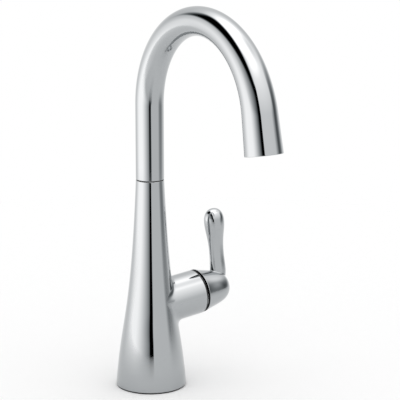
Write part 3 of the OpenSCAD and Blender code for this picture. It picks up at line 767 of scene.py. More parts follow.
@dataclass
class Handle(Part):
    """Dome and lever, cast in one, with the dome hollow round the stem's pivot."""

    rim: float = 48.4
    set_back: float = 0.5
    housing_r: float = 19.2
    dome_l: float = 30.57
    dome_slope: float = 0.3
    dome_reach: float = 17.6
    nose_r: float = 15.3
    tilt_deg: float = 3.0
    cavity_r: float = 28.36
    lever_at: float = 71.6
    lever_l: float = 69.3
    neck_h: float = 29.0
    bulb_h: float = 57.5
    neck: tuple[float, float] = (7.1, 3.9)
    foot: tuple[float, float] = (7.7, 4.6)
    bulb: tuple[float, float] = (9.0, 8.2)
    foot_h: float = 13.0
    low: float = -2.0
    shift: float = 1.4
    blend: float = 0.7
    voxel: float = 0.55
    edge: float = 0.3
    lead_l: float = 5.0
    sink: tuple[float, float] = (-1.5, 1.0)
    shift_h: float = 15.0
    swell_power: float = 1.3
    crown_power: float = 2.3
    settle_rounds: int = 4
    settle_step: float = 0.6
    settle_from: float = 3.5
    lip_land: float = 1.2
    cavity_chamfer: float = 0.15
    cavity_rows: int = 16
    cavity_pole: float = 0.03
    skin_gap: float = 0.02
    screw_at: float = 59.0
    screw_hole_r: float = 2.55
    screw_hole_l: float = 30.0
    screw_from: float = 3.25
    screw_r: float = 2.5
    screw_l: float = 8.0
    screw_chamfer: float = 0.5
    key_flats: float = 2.54
    key_chamfer: float = 0.12
    key_depth: float = 2.5

    @property
    def lip(self) -> float:
        """Distance of the dome's cut edge along the valve's axis."""
        return self.rim + self.set_back

    @property
    def tilt(self) -> tuple[float, float]:
        """Cosine and sine of the dome's tilt."""
        return math.cos(math.radians(self.tilt_deg)), math.sin(math.radians(self.tilt_deg))

    def profile(self, t: Array) -> Array:
        """The dome's outline as (distance past the rim, radius)."""
        return bezier([(0, self.housing_r),
                       (self.dome_reach, self.housing_r - self.dome_reach * self.dome_slope),
                       (self.dome_l, self.nose_r), (self.dome_l, 0)], t)

    def to_dome(self, dwy: Array) -> tuple[Array, Array, Array]:
        """Places points about the dome's tilted axis.

        Args:
            dwy: Points in the valve's frame.

        Returns:
            Their distance past the rim, upwards from the axis and from the axis.
        """
        c, s = self.tilt
        a = (dwy[:, 0] - self.rim) * c - dwy[:, 1] * s
        up = (dwy[:, 0] - self.rim) * s + dwy[:, 1] * c
        return a, up, np.hypot(up, dwy[:, 2])

    def dome(self, dwy: Array) -> tuple[Array, Array]:
        """Signed distance to the dome, and its gradient.

        Args:
            dwy: Points in the valve's frame.

        Returns:
            Distances, negative inside, and unit gradients.
        """
        t = np.linspace(0, 1, 400)
        curve = self.profile(t)
        before = np.linspace(-self.lead_l, 0, 50, endpoint=False)
        lead = np.stack([before, self.housing_r - before * self.dome_slope], -1)
        curve = np.vstack([lead, curve])
        tangent = np.gradient(curve, axis=0)
        tangent /= np.linalg.norm(tangent, axis=1)[:, None]
        a, up, rho = self.to_dome(dwy)
        flat = np.stack([a, rho], -1)
        batch = 4000
        near = np.concatenate([
            np.argmin(((flat[i:i + batch, None, :] - curve[None]) ** 2).sum(-1), axis=1)
            for i in range(0, len(flat), batch)])
        gap = flat - curve[near]
        slide = (gap * tangent[near]).sum(-1)
        step = np.clip(near + np.sign(slide).astype(int), 0, len(curve) - 1)
        reach = np.linalg.norm(curve[step] - curve[near], axis=1) + 1e-9
        share = np.clip(np.abs(slide) / reach, 0, 1)[:, None]
        along = mix(tangent[near], tangent[step], share)
        along /= np.linalg.norm(along, axis=1)[:, None]
        foot = mix(curve[near], curve[step], share)
        normal = np.stack([-along[:, 1], along[:, 0]], -1)
        distance = ((flat - foot) * normal).sum(-1)
        c, s = self.tilt
        radial = np.stack([up, dwy[:, 2]], -1) / np.maximum(rho, 1e-6)[:, None]
        gradient = np.stack([normal[:, 0] * c + normal[:, 1] * radial[:, 0] * s,
                             -normal[:, 0] * s + normal[:, 1] * radial[:, 0] * c,
                             normal[:, 1] * radial[:, 1]], -1)
        return distance, gradient

    def half(self, w: Array) -> Array:
        """Half widths of the lever.

        Args:
            w: Heights above the valve's axis.

        Returns:
            Half width along the axis and across it, one row for each height.
        """
        foot, neck, bulb = (np.array(v) for v in (self.foot, self.neck, self.bulb))
        sunk = foot + self.sink
        w = np.asarray(w, float)[:, None]
        low = mix(sunk, foot, ease((w - self.low) / (self.foot_h - self.low)))
        waist = mix(foot, neck, ease((w - self.foot_h) / (self.neck_h - self.foot_h)))
        rise = np.clip((w - self.neck_h) / (self.bulb_h - self.neck_h), 0, 1)
        swell = mix(neck, bulb, ease(rise ** self.swell_power))
        return np.where(w < self.foot_h, low, np.where(w < self.neck_h, waist, swell))

    def centre(self, w: Array) -> Array:
        """Distance of the lever's middle from the body's axis, at a height."""
        return self.lever_at - self.shift * (1 - ease((w - self.low) / self.shift_h))

    def lever_level(self, dwy: Array) -> Array:
        """Tells inside from outside of the lever.

        Args:
            dwy: Points in the valve's frame.

        Returns:
            0 on the lever, below 0 inside and above 0 outside.
        """
        w = dwy[:, 1]
        half = self.half(w)
        q = ((dwy[:, 0] - self.centre(w)) / half[:, 0]) ** 2 + (dwy[:, 2] / half[:, 1]) ** 2
        u = np.clip((w - self.bulb_h) / (self.lever_l - self.bulb_h), 0, None)
        power = self.crown_power
        return (np.maximum(q, 1e-12) ** (power / 2) + u ** power) ** (1 / power) - 1

    def lever(self, dwy: Array) -> tuple[Array, Array]:
        """Distance to the lever near its surface, and its gradient.

        Args:
            dwy: Points in the valve's frame.

        Returns:
            Distances, negative inside, and unit gradients.
        """
        level, eps = self.lever_level(dwy), 1e-3
        slope = np.stack([(self.lever_level(dwy + step) - self.lever_level(dwy - step))
                          / (2 * eps) for step in np.eye(3) * eps], -1)
        size = np.maximum(np.linalg.norm(slope, axis=1), 1e-6)
        distance, gradient = level / size, slope / size[:, None]
        below = self.low - dwy[:, 1]
        under = below > distance
        return np.where(under, below, distance), np.where(under[:, None], [0, -1, 0], gradient)

    def shape(self, dwy: Array) -> tuple[Array, Array]:
        """Distance to dome and lever with a small fillet between, and its gradient.

        Args:
            dwy: Points in the valve's frame.

        Returns:
            Distances, negative inside, and gradients.
        """
        (a, slope_a), (b, slope_b) = self.dome(dwy), self.lever(dwy)
        h = np.maximum(self.blend - np.abs(a - b), 0) / self.blend
        value = np.minimum(a, b) - h * h * self.blend / 4
        share = np.where(a < b, 1 - h / 2, h / 2)[:, None]
        gradient = slope_a * share + slope_b * (1 - share)
        return value, gradient

    def rough(self) -> bpy.types.Object:
        """Dome and lever as overlapping closed skins, remeshed into one.

        Returns:
            A scratch object whose mesh only has the right topology.
        """
        skin = Skin()
        t = np.linspace(0, 0.999, 60)
        lead_r = self.housing_r + self.lead_l * self.dome_slope
        line = np.vstack([[[-self.lead_l, 0.01]], [[-self.lead_l, lead_r]], self.profile(t)])
        rows = turned(line[:, ::-1], 96)
        c, s = self.tilt
        a, up, y = rows[..., 2], -rows[..., 0], rows[..., 1]
        dome = VALVE.point(self.rim + a * c + up * s, up * c - a * s, y)
        skin.rod(dome)
        w = np.concatenate([np.linspace(self.low, self.bulb_h, 60),
                            mix(self.bulb_h, self.lever_l, np.sin(np.linspace(0.05, 1.55, 24)))])
        u = np.clip((w - self.bulb_h) / (self.lever_l - self.bulb_h), 0, 1)
        shrink = np.maximum(1 - u ** self.crown_power, 0) ** (1 / self.crown_power)
        theta = circle(64)
        half = self.half(w) * shrink[:, None]
        lever = VALVE.point(self.centre(w)[:, None] + half[:, :1] * np.cos(theta), w[:, None],
                            half[:, 1:] * np.sin(theta))
        skin.rod(lever)
        mesh = skin.mesh("rough_handle")
        sew(mesh)
        rough = bpy.data.objects.new("rough_handle", mesh)
        bpy.context.scene.collection.objects.link(rough)
        remesh = rough.modifiers.new("even", "REMESH")
        remesh.mode = "VOXEL"
        remesh.voxel_size = self.voxel * MM
        return rough

    def build(self) -> bpy.types.Object:
        """Builds the casting.

        Returns:
            The casting.
        """
        rough = self.rough()
        graph = bpy.context.evaluated_depsgraph_get()
        mesh = bpy.data.meshes.new_from_object(rough.evaluated_get(graph))
        bpy.data.objects.remove(rough)
        work = bmesh.new()
        work.from_mesh(mesh)
        for turn in range(self.settle_rounds):
            if turn:
                bmesh.ops.smooth_vert(work, verts=work.verts, factor=0.5, use_axis_x=True,
                                      use_axis_y=True, use_axis_z=True)
            self.settle(work)
        self.trim(work)
        work.to_mesh(mesh)
        work.free()
        casting = finished("handle_casting", mesh)
        self.drill(casting)
        self.polish(casting.data)
        return self.done(casting, "lever", POLISHED_CHROME, "chrome", "handle")

    def settle(self, work: bmesh.types.BMesh) -> None:
        """Moves every point of the mesh onto the wanted shape.

        Args:
            work: The remeshed dome and lever.
        """
        points = np.array([v.co[:] for v in work.verts]) / MM
        dwy = VALVE.local(points)
        for _ in range(self.settle_rounds):
            value, slope = self.shape(dwy)
            size = np.maximum((slope ** 2).sum(-1), 0.05)
            step = np.clip(value / size, -self.settle_step, self.settle_step)
            free = (dwy[:, 0] > self.rim - self.settle_from)[:, None]
            dwy = dwy - slope * step[:, None] * free
        points = VALVE.point(dwy[:, 0], dwy[:, 1], dwy[:, 2]) * MM
        for v, co in zip(work.verts, points):
            v.co = co

    def trim(self, work: bmesh.types.BMesh) -> None:
        """Cuts the skin off at the rim, rounds the rim and adds the hollow behind it.

        Args:
            work: The settled dome and lever.
        """
        cut = self.lip + 1.5 * self.edge
        origin = Vector(VALVE.point(cut, 0, 0) * MM)
        axis = Vector((VALVE.cos, 0, VALVE.sin))
        whole = list(work.verts) + list(work.edges) + list(work.faces)
        bmesh.ops.bisect_plane(work, geom=whole, dist=1e-7, plane_co=origin, plane_no=axis,
                               clear_inner=True)
        edge_verts = {v for e in work.edges if e.is_boundary for v in e.verts}
        rim = sorted(edge_verts, key=lambda v: math.atan2(
            v.co.y, VALVE.local(np.array(v.co) / MM)[1]))
        place = VALVE.local(np.array([v.co[:] for v in rim]) / MM)
        rho, phi = np.hypot(place[:, 1], place[:, 2]), np.arctan2(place[:, 2], place[:, 1])
        mouth = math.sqrt(self.cavity_r ** 2 - (self.lip - VALVE.pivot) ** 2)
        reach = math.asin(mouth / self.cavity_r)
        line = rounded([(0, cut), (0, self.lip), (self.lip_land, self.lip)], self.edge,
                       closed=False)
        rows = [(rho - inwards, x) for inwards, x in line[1:]]
        rows += [(np.full(len(rim), radius), self.lip)
                 for radius in (mouth + self.cavity_chamfer, mouth)]
        for angle in np.linspace(reach, self.cavity_pole, self.cavity_rows)[1:]:
            rows.append((np.full(len(rim), self.cavity_r * math.sin(angle)),
                         VALVE.pivot + self.cavity_r * math.cos(angle)))
        last = rim
        for radius, x in rows:
            ring = [work.verts.new(co) for co in
                    VALVE.point(x, radius * np.cos(phi), radius * np.sin(phi)) * MM]
            for j in range(len(rim)):
                k = (j + 1) % len(rim)
                work.faces.new((last[j], last[k], ring[k], ring[j]))
            last = ring
        pole = work.verts.new(VALVE.point(VALVE.pivot + self.cavity_r, 0, 0) * MM)
        for j in range(len(rim)):
            work.faces.new((last[j], last[(j + 1) % len(rim)], pole))

    def drill(self, casting: bpy.types.Object) -> None:
        """Cuts the blind hole for the set screw into the dome's underside.

        Args:
            casting: The handle.
        """
        rows = turned([(self.screw_hole_r, self.screw_from),
                       (self.screw_hole_r, self.screw_hole_l)], 64)
        tool = Skin()
        tool.rod(self.across(rows))
        cutter = tool.piece("screw_hole_tool")
        cut = casting.modifiers.new("hole", "BOOLEAN")
        cut.object, cut.operation, cut.solver = cutter, "DIFFERENCE", "EXACT"
        graph = bpy.context.evaluated_depsgraph_get()
        mesh = bpy.data.meshes.new_from_object(casting.evaluated_get(graph))
        casting.modifiers.clear()
        casting.data = mesh
        mesh.name = casting.name
        bpy.data.objects.remove(cutter)
        log.info("%s: %d faces after its hole", casting.name, len(mesh.polygons))

    def across(self, rows: Array) -> Array:
        """Rows turned about Z, with Z pointing down from the valve's axis at the screw."""
        return VALVE.point(self.screw_at + rows[..., 0], -rows[..., 2], rows[..., 1])

    def polish(self, mesh: bpy.types.Mesh) -> None:
        """Gives the outside the exact normals of its shape, so that reflections run clean.

        Args:
            mesh: The handle's mesh.
        """
        mesh.shade_smooth()
        mesh.set_sharp_from_angle(angle=math.radians(CRISP_DEG))
        points = np.empty(len(mesh.vertices) * 3)
        mesh.vertices.foreach_get("co", points)
        dwy = VALVE.local(points.reshape(-1, 3) / MM)
        value, slope = self.shape(dwy)
        slope /= np.maximum(np.linalg.norm(slope, axis=1), 1e-6)[:, None]
        past_edge = dwy[:, 0] > self.lip + 1.2 * self.edge
        on_skin = (np.abs(value) < self.skin_gap) & past_edge
        c, s = VALVE.cos, VALVE.sin
        exact = np.stack([slope[:, 0] * c - slope[:, 1] * s, slope[:, 2],
                          slope[:, 0] * s + slope[:, 1] * c], -1)
        corners = np.array([n.vector[:] for n in mesh.corner_normals])
        index = np.empty(len(mesh.loops), int)
        mesh.loops.foreach_get("vertex_index", index)
        swap = on_skin[index] & ((exact[index] * corners).sum(-1) > 0.8)
        corners[swap] = exact[index][swap]
        mesh.normals_split_custom_set(corners.tolist())

    def screw(self) -> bpy.types.Object:
        """Builds the set screw, with a hexagon socket and a fine chamfer.

        Returns:
            The new piece.
        """
        theta = np.radians(np.arange(0, 360, 5.0))
        key = hexagon(theta, self.key_flats)
        r, low, high = self.screw_r, self.screw_from, self.screw_from + self.screw_l
        bevel, top_bevel, fine = self.screw_chamfer, 0.4, self.key_chamfer
        rows = [(0.05, low), (r - bevel, low), (r, low + bevel), (r, low + 1.0),
                (r, high - 1.0), (r, high - top_bevel), (r - top_bevel, high),
                (key + fine, high), (key, high - fine), (key, high - self.key_depth),
                (0.05, high - self.key_depth - top_bevel)]
        skin = Skin()
        skin.rod(self.across(np.stack([round_z(q, theta, z) for q, z in rows])))
        return self.done(skin.piece("set_screw"), "lever", TURNED_STEEL, "steel",
                         "handle_screw")


# ---------------------------------------------------------------- small rings

@dataclass
class Rings(Part):
    """Gasket, swivel bearing and the black trim between housing and dome, whose black is partly
    painted shade of the gap there.
    """

    foot_r: float = 30.0
    shank_r: float = 16.0
    gasket_t: float = 1.2
    seam: tuple[float, float] = (179.2, 180.0)
    tube_r: float = 11.9
    hub_r: float = 8.8
    trim_r: float = 28.0
    trim_wall: float = 1.5
    trim_lip: float = 19.0
    trim_step: tuple[float, float] = (16.8, 45.7)
    trim_opening: float = 14.5
    gasket_inset: float = 0.6
    bearing_inset: float = 0.5
    slack: float = 0.05
    trim_slack: float = 0.02

    def build(self) -> None:
        """Builds the three rings."""
        outer, bore = self.foot_r - self.gasket_inset, self.shank_r + self.gasket_inset
        gasket = turned_piece("foot_gasket", [
            (outer, 0), (outer, self.gasket_t), (bore, self.gasket_t), (bore, 0)], 0.2)
        self.done(gasket, "body", MOULDED_RUBBER, "black_rubber", "base_gasket")
        low, high = self.seam
        outer, bore = self.tube_r - self.bearing_inset, self.hub_r + self.slack
        bearing = turned_piece("swivel_bearing", [
            (outer, low), (outer, high), (bore, high), (bore, low)], 0.12)
        self.done(bearing, "body", BLACK_ACETAL, "black_plastic", "glide_ring")
        inner = self.trim_r - self.trim_wall

        def arc(r: float, start: float, stop: float) -> list[tuple[float, float]]:
            """Points on a ball round the pivot.

            Args:
                r: The ball's radius.
                start: Distance of the first point from the axis.
                stop: Distance of the last.

            Returns:
                Corners of an outline.
            """
            return [(rho, VALVE.pivot + math.sqrt(r * r - rho * rho))
                    for rho in np.linspace(start, stop, 14)]

        # The trim reaches almost to the housing's outer radius. It is a real part, and its black
        # also paints the shade of the gap between housing and dome.
        (step_r, step_at), lip = self.trim_step, self.trim_lip - self.trim_slack
        line = (arc(self.trim_r, lip, self.trim_opening) + arc(inner, self.trim_opening, step_r)
                + [(step_r, step_at), (lip, step_at)])
        rows = VALVE.turned(turned(line + [line[0]], 128))
        skin = Skin()
        skin.grid(rows)
        self.done(skin.piece("bonnet_trim_and_gap_shade"), "body", BLACK_ACETAL, "black_plastic",
                  "bonnet_cap")


# ---------------------------------------------------------------- geometry nodes

class NodeShape:
    """A Geometry Nodes tree with named inputs that is turned into a plain mesh."""

    def __init__(self, name: str) -> None:
        """Starts an empty tree.

        Args:
            name: The tree's name.
        """
        self.tree = bpy.data.node_groups.new(name, "GeometryNodeTree")
        self.tree.interface.new_socket("Geometry", in_out="OUTPUT",
                                       socket_type="NodeSocketGeometry")
        self.sockets: dict[str, str] = {}
        self.kinds = {"Float": "NodeSocketFloat", "Int": "NodeSocketInt",
                      "Material": "NodeSocketMaterial"}
        self.entry: bpy.types.Node | None = None

    def inputs(self, **kinds: str) -> bpy.types.Node:
        """Names the tree's inputs.

        Args:
            **kinds: Float, Int or Material by input name.

        Returns:
            The group's input node.
        """
        for name, kind in kinds.items():
            item = self.tree.interface.new_socket(name, in_out="INPUT",
                                                  socket_type=self.kinds[kind])
            self.sockets[name] = item.identifier
        self.entry = self.tree.nodes.new("NodeGroupInput")
        return self.entry

    def close(self, geometry: bpy.types.NodeSocket) -> None:
        """Ends the tree in real geometry with its material set.

        Args:
            geometry: What the tree has made.
        """
        real = add(self.tree, "GeometryNodeRealizeInstances", {0: geometry})
        painted = add(self.tree, "GeometryNodeSetMaterial",
                      {"Geometry": real.outputs[0], "Material": self.entry.outputs["Material"]})
        leave = self.tree.nodes.new("NodeGroupOutput")
        self.tree.links.new(painted.outputs[0], leave.inputs[0])

    def mesh(self, name: str, **values) -> bpy.types.Mesh:
        """Evaluates the tree once with the given values.

        Args:
            name: The mesh's name.
            **values: A value for each named input.

        Returns:
            A plain mesh in metres.
        """
        carrier = bpy.data.objects.new(name, bpy.data.meshes.new(name + "_seed"))
        modifier = carrier.modifiers.new("make", "NODES")
        modifier.node_group = self.tree
        for key, value in values.items():
            modifier[self.sockets[key]] = value
        bpy.context.scene.collection.objects.link(carrier)
        graph = bpy.context.evaluated_depsgraph_get()
        mesh = bpy.data.meshes.new_from_object(carrier.evaluated_get(graph))
        bpy.data.objects.remove(carrier)
        mesh.name = name
        return mesh


def helix_tree() -> NodeShape:
    """A ridge wound round Z: the thread of a shank, a fitting or a nut.

    Returns:
        The tree, with inputs Turns, Pitch, Radius, Ridge and Material.
    """
    shape = NodeShape("thread")
    entry = shape.inputs(Turns="Float", Pitch="Float", Radius="Float", Ridge="Float",
                         Material="Material")
    tree, pin = shape.tree, entry.outputs
    height = add(tree, "ShaderNodeMath", {0: pin["Turns"], 1: pin["Pitch"]},
                 operation="MULTIPLY")
    spiral = add(tree, "GeometryNodeCurveSpiral",
                 {"Resolution": 72, "Rotations": pin["Turns"], "Start Radius": pin["Radius"],
                  "End Radius": pin["Radius"], "Height": height.outputs[0]})
    upright = add(tree, "GeometryNodeSetCurveNormal", {"Curve": spiral.outputs[0]},
                  mode="Z_UP")
    profile = add(tree, "GeometryNodeCurvePrimitiveCircle",
                  {"Resolution": 6, "Radius": pin["Ridge"]}, mode="RADIUS")
    ridge = add(tree, "GeometryNodeCurveToMesh",
                {"Curve": upright.outputs[0], "Profile Curve": profile.outputs[0],
                 "Fill Caps": True})
    shape.close(ridge.outputs[0])
    return shape


def weave_tree() -> NodeShape:
    """A round piece of woven wire cloth, with each wire passing over and under.

    Returns:
        The tree, with inputs Wires, Pitch, Radius, Wire and Material.
    """
    shape = NodeShape("wire_cloth")
    entry = shape.inputs(Wires="Int", Pitch="Float", Radius="Float", Wire="Float",
                         Material="Material")
    tree, pin = shape.tree, entry.outputs

    def sums(operation: str, a: bpy.types.NodeSocket | float,
             b: bpy.types.NodeSocket | float = 0.0) -> bpy.types.NodeSocket:
        """One sum on two values or sockets."""
        return add(tree, "ShaderNodeMath", {0: a, 1: b}, operation=operation).outputs[0]

    last = sums("SUBTRACT", pin["Wires"], 1.0)
    half = sums("MULTIPLY", sums("MULTIPLY", last, pin["Pitch"]), 0.5)
    profile = add(tree, "GeometryNodeCurvePrimitiveCircle",
                  {"Resolution": 5, "Radius": pin["Wire"]}, mode="RADIUS")
    layers = []
    for turn in (0, 1):
        span = add(tree, "GeometryNodeMeshLine",
                   {"Count": pin["Wires"],
                    "Start Location": add(tree, "ShaderNodeCombineXYZ",
                                          {"X": sums("MULTIPLY", half, -1.0)}).outputs[0],
                    "Offset": add(tree, "ShaderNodeCombineXYZ",
                                  {"X": pin["Pitch"]}).outputs[0]})
        unit = add(tree, "GeometryNodeCurvePrimitiveLine",
                   {"Start": (0, -1, 0), "End": (0, 1, 0)})
        fine = add(tree, "GeometryNodeResampleCurve",
                   {"Curve": unit.outputs[0], "Count": 110})
        place = add(tree, "GeometryNodeInputPosition")
        x = add(tree, "ShaderNodeSeparateXYZ", {0: place.outputs[0]}).outputs[0]
        ratio = sums("DIVIDE", x, pin["Radius"])
        reach = sums("SQRT", sums("MAXIMUM", sums("SUBTRACT", 1.0,
                                                  sums("MULTIPLY", ratio, ratio)), 0.0001))
        chord = sums("MULTIPLY", reach, pin["Radius"])
        stand = add(tree, "GeometryNodeInstanceOnPoints",
                    {"Points": span.outputs[0], "Instance": fine.outputs[0],
                     "Scale": add(tree, "ShaderNodeCombineXYZ",
                                  {"X": 1.0, "Y": chord, "Z": 1.0}).outputs[0]})
        real = add(tree, "GeometryNodeRealizeInstances", {0: stand.outputs[0]})
        here = add(tree, "ShaderNodeSeparateXYZ",
                   {0: add(tree, "GeometryNodeInputPosition").outputs[0]})
        wave = sums("COSINE", sums("MULTIPLY", sums("DIVIDE", here.outputs[1], pin["Pitch"]),
                                   math.pi))
        side = sums("COSINE", sums("MULTIPLY", sums("DIVIDE", here.outputs[0], pin["Pitch"]),
                                   math.pi))
        lift = sums("MULTIPLY", sums("MULTIPLY", wave, side),
                    sums("MULTIPLY", pin["Wire"], 1.0 if turn else -1.0))
        woven = add(tree, "GeometryNodeSetPosition",
                    {"Geometry": real.outputs[0],
                     "Offset": add(tree, "ShaderNodeCombineXYZ", {"Z": lift}).outputs[0]})
        cloth = add(tree, "GeometryNodeCurveToMesh",
                    {"Curve": woven.outputs[0], "Profile Curve": profile.outputs[0],
                     "Fill Caps": True})
        layers.append(add(tree, "GeometryNodeTransform",
                          {"Geometry": cloth.outputs[0],
                           "Rotation": (0, 0, turn * math.pi / 2)}).outputs[0])
    join = tree.nodes.new("GeometryNodeJoinGeometry")
    for layer in layers:
        tree.links.new(layer, join.inputs[0])
    shape.close(join.outputs[0])
    return shape


def moved(mesh: bpy.types.Mesh, place: Callable[[Array], Array]) -> bpy.types.Mesh:
    """Moves a mesh's points.

    Args:
        mesh: The mesh, in metres.
        place: Where each point goes, in millimetres.

    Returns:
        The same mesh.
    """
    points = np.empty(len(mesh.vertices) * 3)
    mesh.vertices.foreach_get("co", points)
    mesh.vertices.foreach_set("co", (place(points.reshape(-1, 3) / MM) * MM).ravel())
    return mesh


# ---------------------------------------------------------------- aerator

@dataclass
class Aerator(Part):
    """Insert at the outlet: housing with key slots, its thread not built, and woven wire cloth.
    """

    spout: Spout
    recess: float = 2.0
    length: float = 10.0
    r: float = 14.0
    bore: float = 11.0
    lip: float = 0.8
    pitch: float = 0.8
    wire_r: float = 0.13
    wires: int = 27
    cloth_lift: float = 1.35
    slots: int = 4
    slot_half_deg: float = 6.55
    slot_flank_deg: float = 0.05
    slot_depth: float = 1.6
    slot_reach: float = 1.3
    edge: float = 0.2

    def build(self) -> None:
        """Builds the housing and the wire cloth."""
        low, high = self.recess, self.recess + self.length
        line = rounded([(self.r, low), (self.r, high), (self.bore, high),
                        (self.bore, low + self.lip), (self.bore - self.lip, low + self.lip),
                        (self.bore - self.lip, low)], self.edge)
        outline = np.array(line + [line[0]])
        apart, half, flank = 360 / self.slots, self.slot_half_deg, self.slot_flank_deg
        flanks = np.array([-half - flank, -half + flank, half - flank, half + flank])
        theta = np.radians(np.sort(np.concatenate(
            [np.arange(0, 360, 3.0)] + [apart * k + flanks for k in range(self.slots)])))
        r, z = outline[:, :1], outline[:, 1:]
        turn = (np.degrees(theta) + apart / 2) % apart - apart / 2
        slot = ((np.abs(turn) < half)[None, :] & (r > self.bore - 0.1)
                & (z < low + self.slot_reach))
        lifted = np.where(slot, low + self.slot_depth, z + 0 * theta)
        skin = Skin()
        skin.grid(self.spout.at_outlet(round_z(r, theta, lifted)))
        self.done(skin.piece("aerator_insert"), "spout", GREY_ACETAL, "grey_plastic",
                  "aerator_housing")
        mesh = weave_tree().mesh("wire_cloth", Wires=self.wires, Pitch=self.pitch * MM,
                                 Radius=(self.bore - 0.2) * MM, Wire=self.wire_r * MM,
                                 Material=WIRE.material())
        lift = self.recess + self.cloth_lift
        moved(mesh, lambda p: self.spout.at_outlet(p + [0, 0, lift]))
        self.done(finished("wire_cloth", mesh, WIRE_CRISP_DEG), "spout", WIRE, "steel",
                  "aerator_screen")


# ---------------------------------------------------------------- mounting

@dataclass
class Mounting(Part):
    """Threaded shank, hexagon nut, washers and the two water inlets under the deck."""

    shank_r: float = 16.0
    bore_r: float = 13.2
    shank_l: float = 52.0
    spigot_r: float = 14.9
    web: tuple[float, float] = (4.0, 12.0)
    web_slack: float = 0.05
    pitch: float = 1.5
    ridge: float = 0.62
    ridge_sunk: float = 0.02
    thread_ends: tuple[float, float] = (1.2, 2.0)
    deck_t: float = 20.0
    rubber_t: float = 3.0
    steel_t: float = 1.5
    washer_r: float = 27.0
    steel_washer_r: float = 26.0
    flats: float = 41.0
    nut_h: float = 9.0
    inlet_y: float = 6.9
    inlet_r: float = 4.75
    inlet_bore: float = 3.2
    inlet_end: float = -46.0
    inlet_top: float = 61.8
    fitting_r: float = 5.9
    fitting_l: float = 14.0
    thread_r: float = 4.46
    thread_l: float = 10.0
    thread_pitch: float = 1.0
    thread_ridge: float = 0.38
    inlet_thread_ends: tuple[float, float] = (0.6, 0.8)
    thread_groove: float = 0.4
    hole_slack: float = 0.4
    nut_slack: float = 0.05
    nut_chamfer: float = 0.6
    nut_face: float = 0.9
    bevel_h: float = 2.4
    bevel_slope: float = 1.6

    def wound(self, name: str, r: float, low: float, length: float, pitch: float,
              ridge: float, x: float = 0.0, y: float = 0.0) -> bpy.types.Mesh:
        """A thread ridge round a vertical axis.

        Args:
            name: The mesh's name.
            r: Radius of the ridge's middle.
            low: Height of its lower end.
            length: Height of the thread.
            pitch: Height of one turn.
            ridge: Half the ridge's width.
            x: The axis's place.
            y: The axis's place.

        Returns:
            The ridge as a mesh.
        """
        mesh = helix_tree().mesh(name, Turns=length / pitch, Pitch=pitch * MM,
                                 Radius=r * MM, Ridge=ridge * MM,
                                 Material=MACHINED_BRASS.material())
        return moved(mesh, lambda p: p + [x, y, low])

    def build(self) -> None:
        """Builds all pieces under the deck and the inlets."""
        root, end = self.shank_r - self.ridge, -self.shank_l
        web_low, web_top = self.web
        step = web_low - self.web_slack
        shank = turned_piece("threaded_shank", [
            (root, end), (root, step), (self.spigot_r, step), (self.spigot_r, web_top),
            (self.bore_r, web_top), (self.bore_r, end)], 0.3)
        self.done(shank, "body", MACHINED_BRASS, "brass", "mounting_shank")
        first, last = self.thread_ends
        ridge = finished("shank_thread", self.wound(
            "shank_thread", root - self.ridge_sunk, end + first, self.shank_l - first - last,
            self.pitch, self.ridge), THREAD_CRISP_DEG)
        self.done(ridge, "body", MACHINED_BRASS, "brass")
        top, hole = -self.deck_t, self.shank_r + self.hole_slack
        rubber = turned_piece("deck_washer_rubber", [
            (self.washer_r, top), (self.washer_r, top - self.rubber_t),
            (hole, top - self.rubber_t), (hole, top)], 0.5)
        self.done(rubber, "clamp", MOULDED_RUBBER, "black_rubber", "deck_washer")
        top -= self.rubber_t
        steel = turned_piece("flat_washer", [
            (self.steel_washer_r, top), (self.steel_washer_r, top - self.steel_t),
            (hole, top - self.steel_t), (hole, top)], 0.25)
        self.done(steel, "clamp", TURNED_STEEL, "steel", "steel_washer")
        self.nut(top - self.steel_t)
        for side, word in ((1, "hot"), (-1, "cold")):
            self.inlet(word, side * self.inlet_y)

    def nut(self, top: float) -> None:
        """Builds the hexagon nut, with both faces bevelled.

        Args:
            top: Height of its upper face.
        """
        low = top - self.nut_h
        theta = np.radians(np.arange(0, 360, 2.0))
        across, half = hexagon(theta, self.flats), self.flats / 2
        corner, bore = half / math.cos(math.pi / 6), self.shank_r + self.nut_slack
        chamfer, face = self.nut_chamfer, half - self.nut_face
        rings: list[tuple[Number, float]] = [
            (bore, low + chamfer), (bore + chamfer, low), (face, low)]
        for z in np.concatenate([np.linspace(low + 0.02, low + self.bevel_h, 9),
                                 np.linspace(top - self.bevel_h, top - 0.02, 9)]):
            cone = half - chamfer + self.bevel_slope * min(z - low, top - z)
            rings.append((np.minimum(across, min(cone, corner + 1)), z))
        rings += [(face, top), (bore + chamfer, top), (bore, top - chamfer),
                  (bore, low + chamfer)]
        skin = Skin()
        skin.grid(np.stack([round_z(r, theta, z) for r, z in rings]))
        self.done(skin.piece("hexagon_nut", 24), "clamp", MACHINED_BRASS, "brass",
                  "mounting_nut")

    def inlet(self, word: str, y: float) -> None:
        """Builds one inlet tube with its internally threaded end.

        Args:
            word: hot or cold.
            y: Place of the tube's axis.
        """
        low, high = self.inlet_end, self.inlet_end + self.fitting_l
        root = self.thread_r + self.thread_groove
        tube = turned_piece(word + "_inlet", [
            (self.fitting_r, low), (self.fitting_r, high - 1), (self.inlet_r, high),
            (self.inlet_r, self.inlet_top), (self.inlet_bore, self.inlet_top),
            (self.inlet_bore, low + self.thread_l), (root, low + self.thread_l), (root, low)],
            0.3, 64, lambda p: p + [0, y, 0])
        self.done(tube, "body", MACHINED_BRASS, "brass", word + "_inlet_tube")
        first, last = self.inlet_thread_ends
        ridge = finished(word + "_inlet_thread", self.wound(
            word + "_inlet_thread", root, low + first, self.thread_l - first - last,
            self.thread_pitch, self.thread_ridge, 0.0, y), THREAD_CRISP_DEG)
        self.done(ridge, "body", MACHINED_BRASS, "brass")


# ---------------------------------------------------------------- the finishes themselves

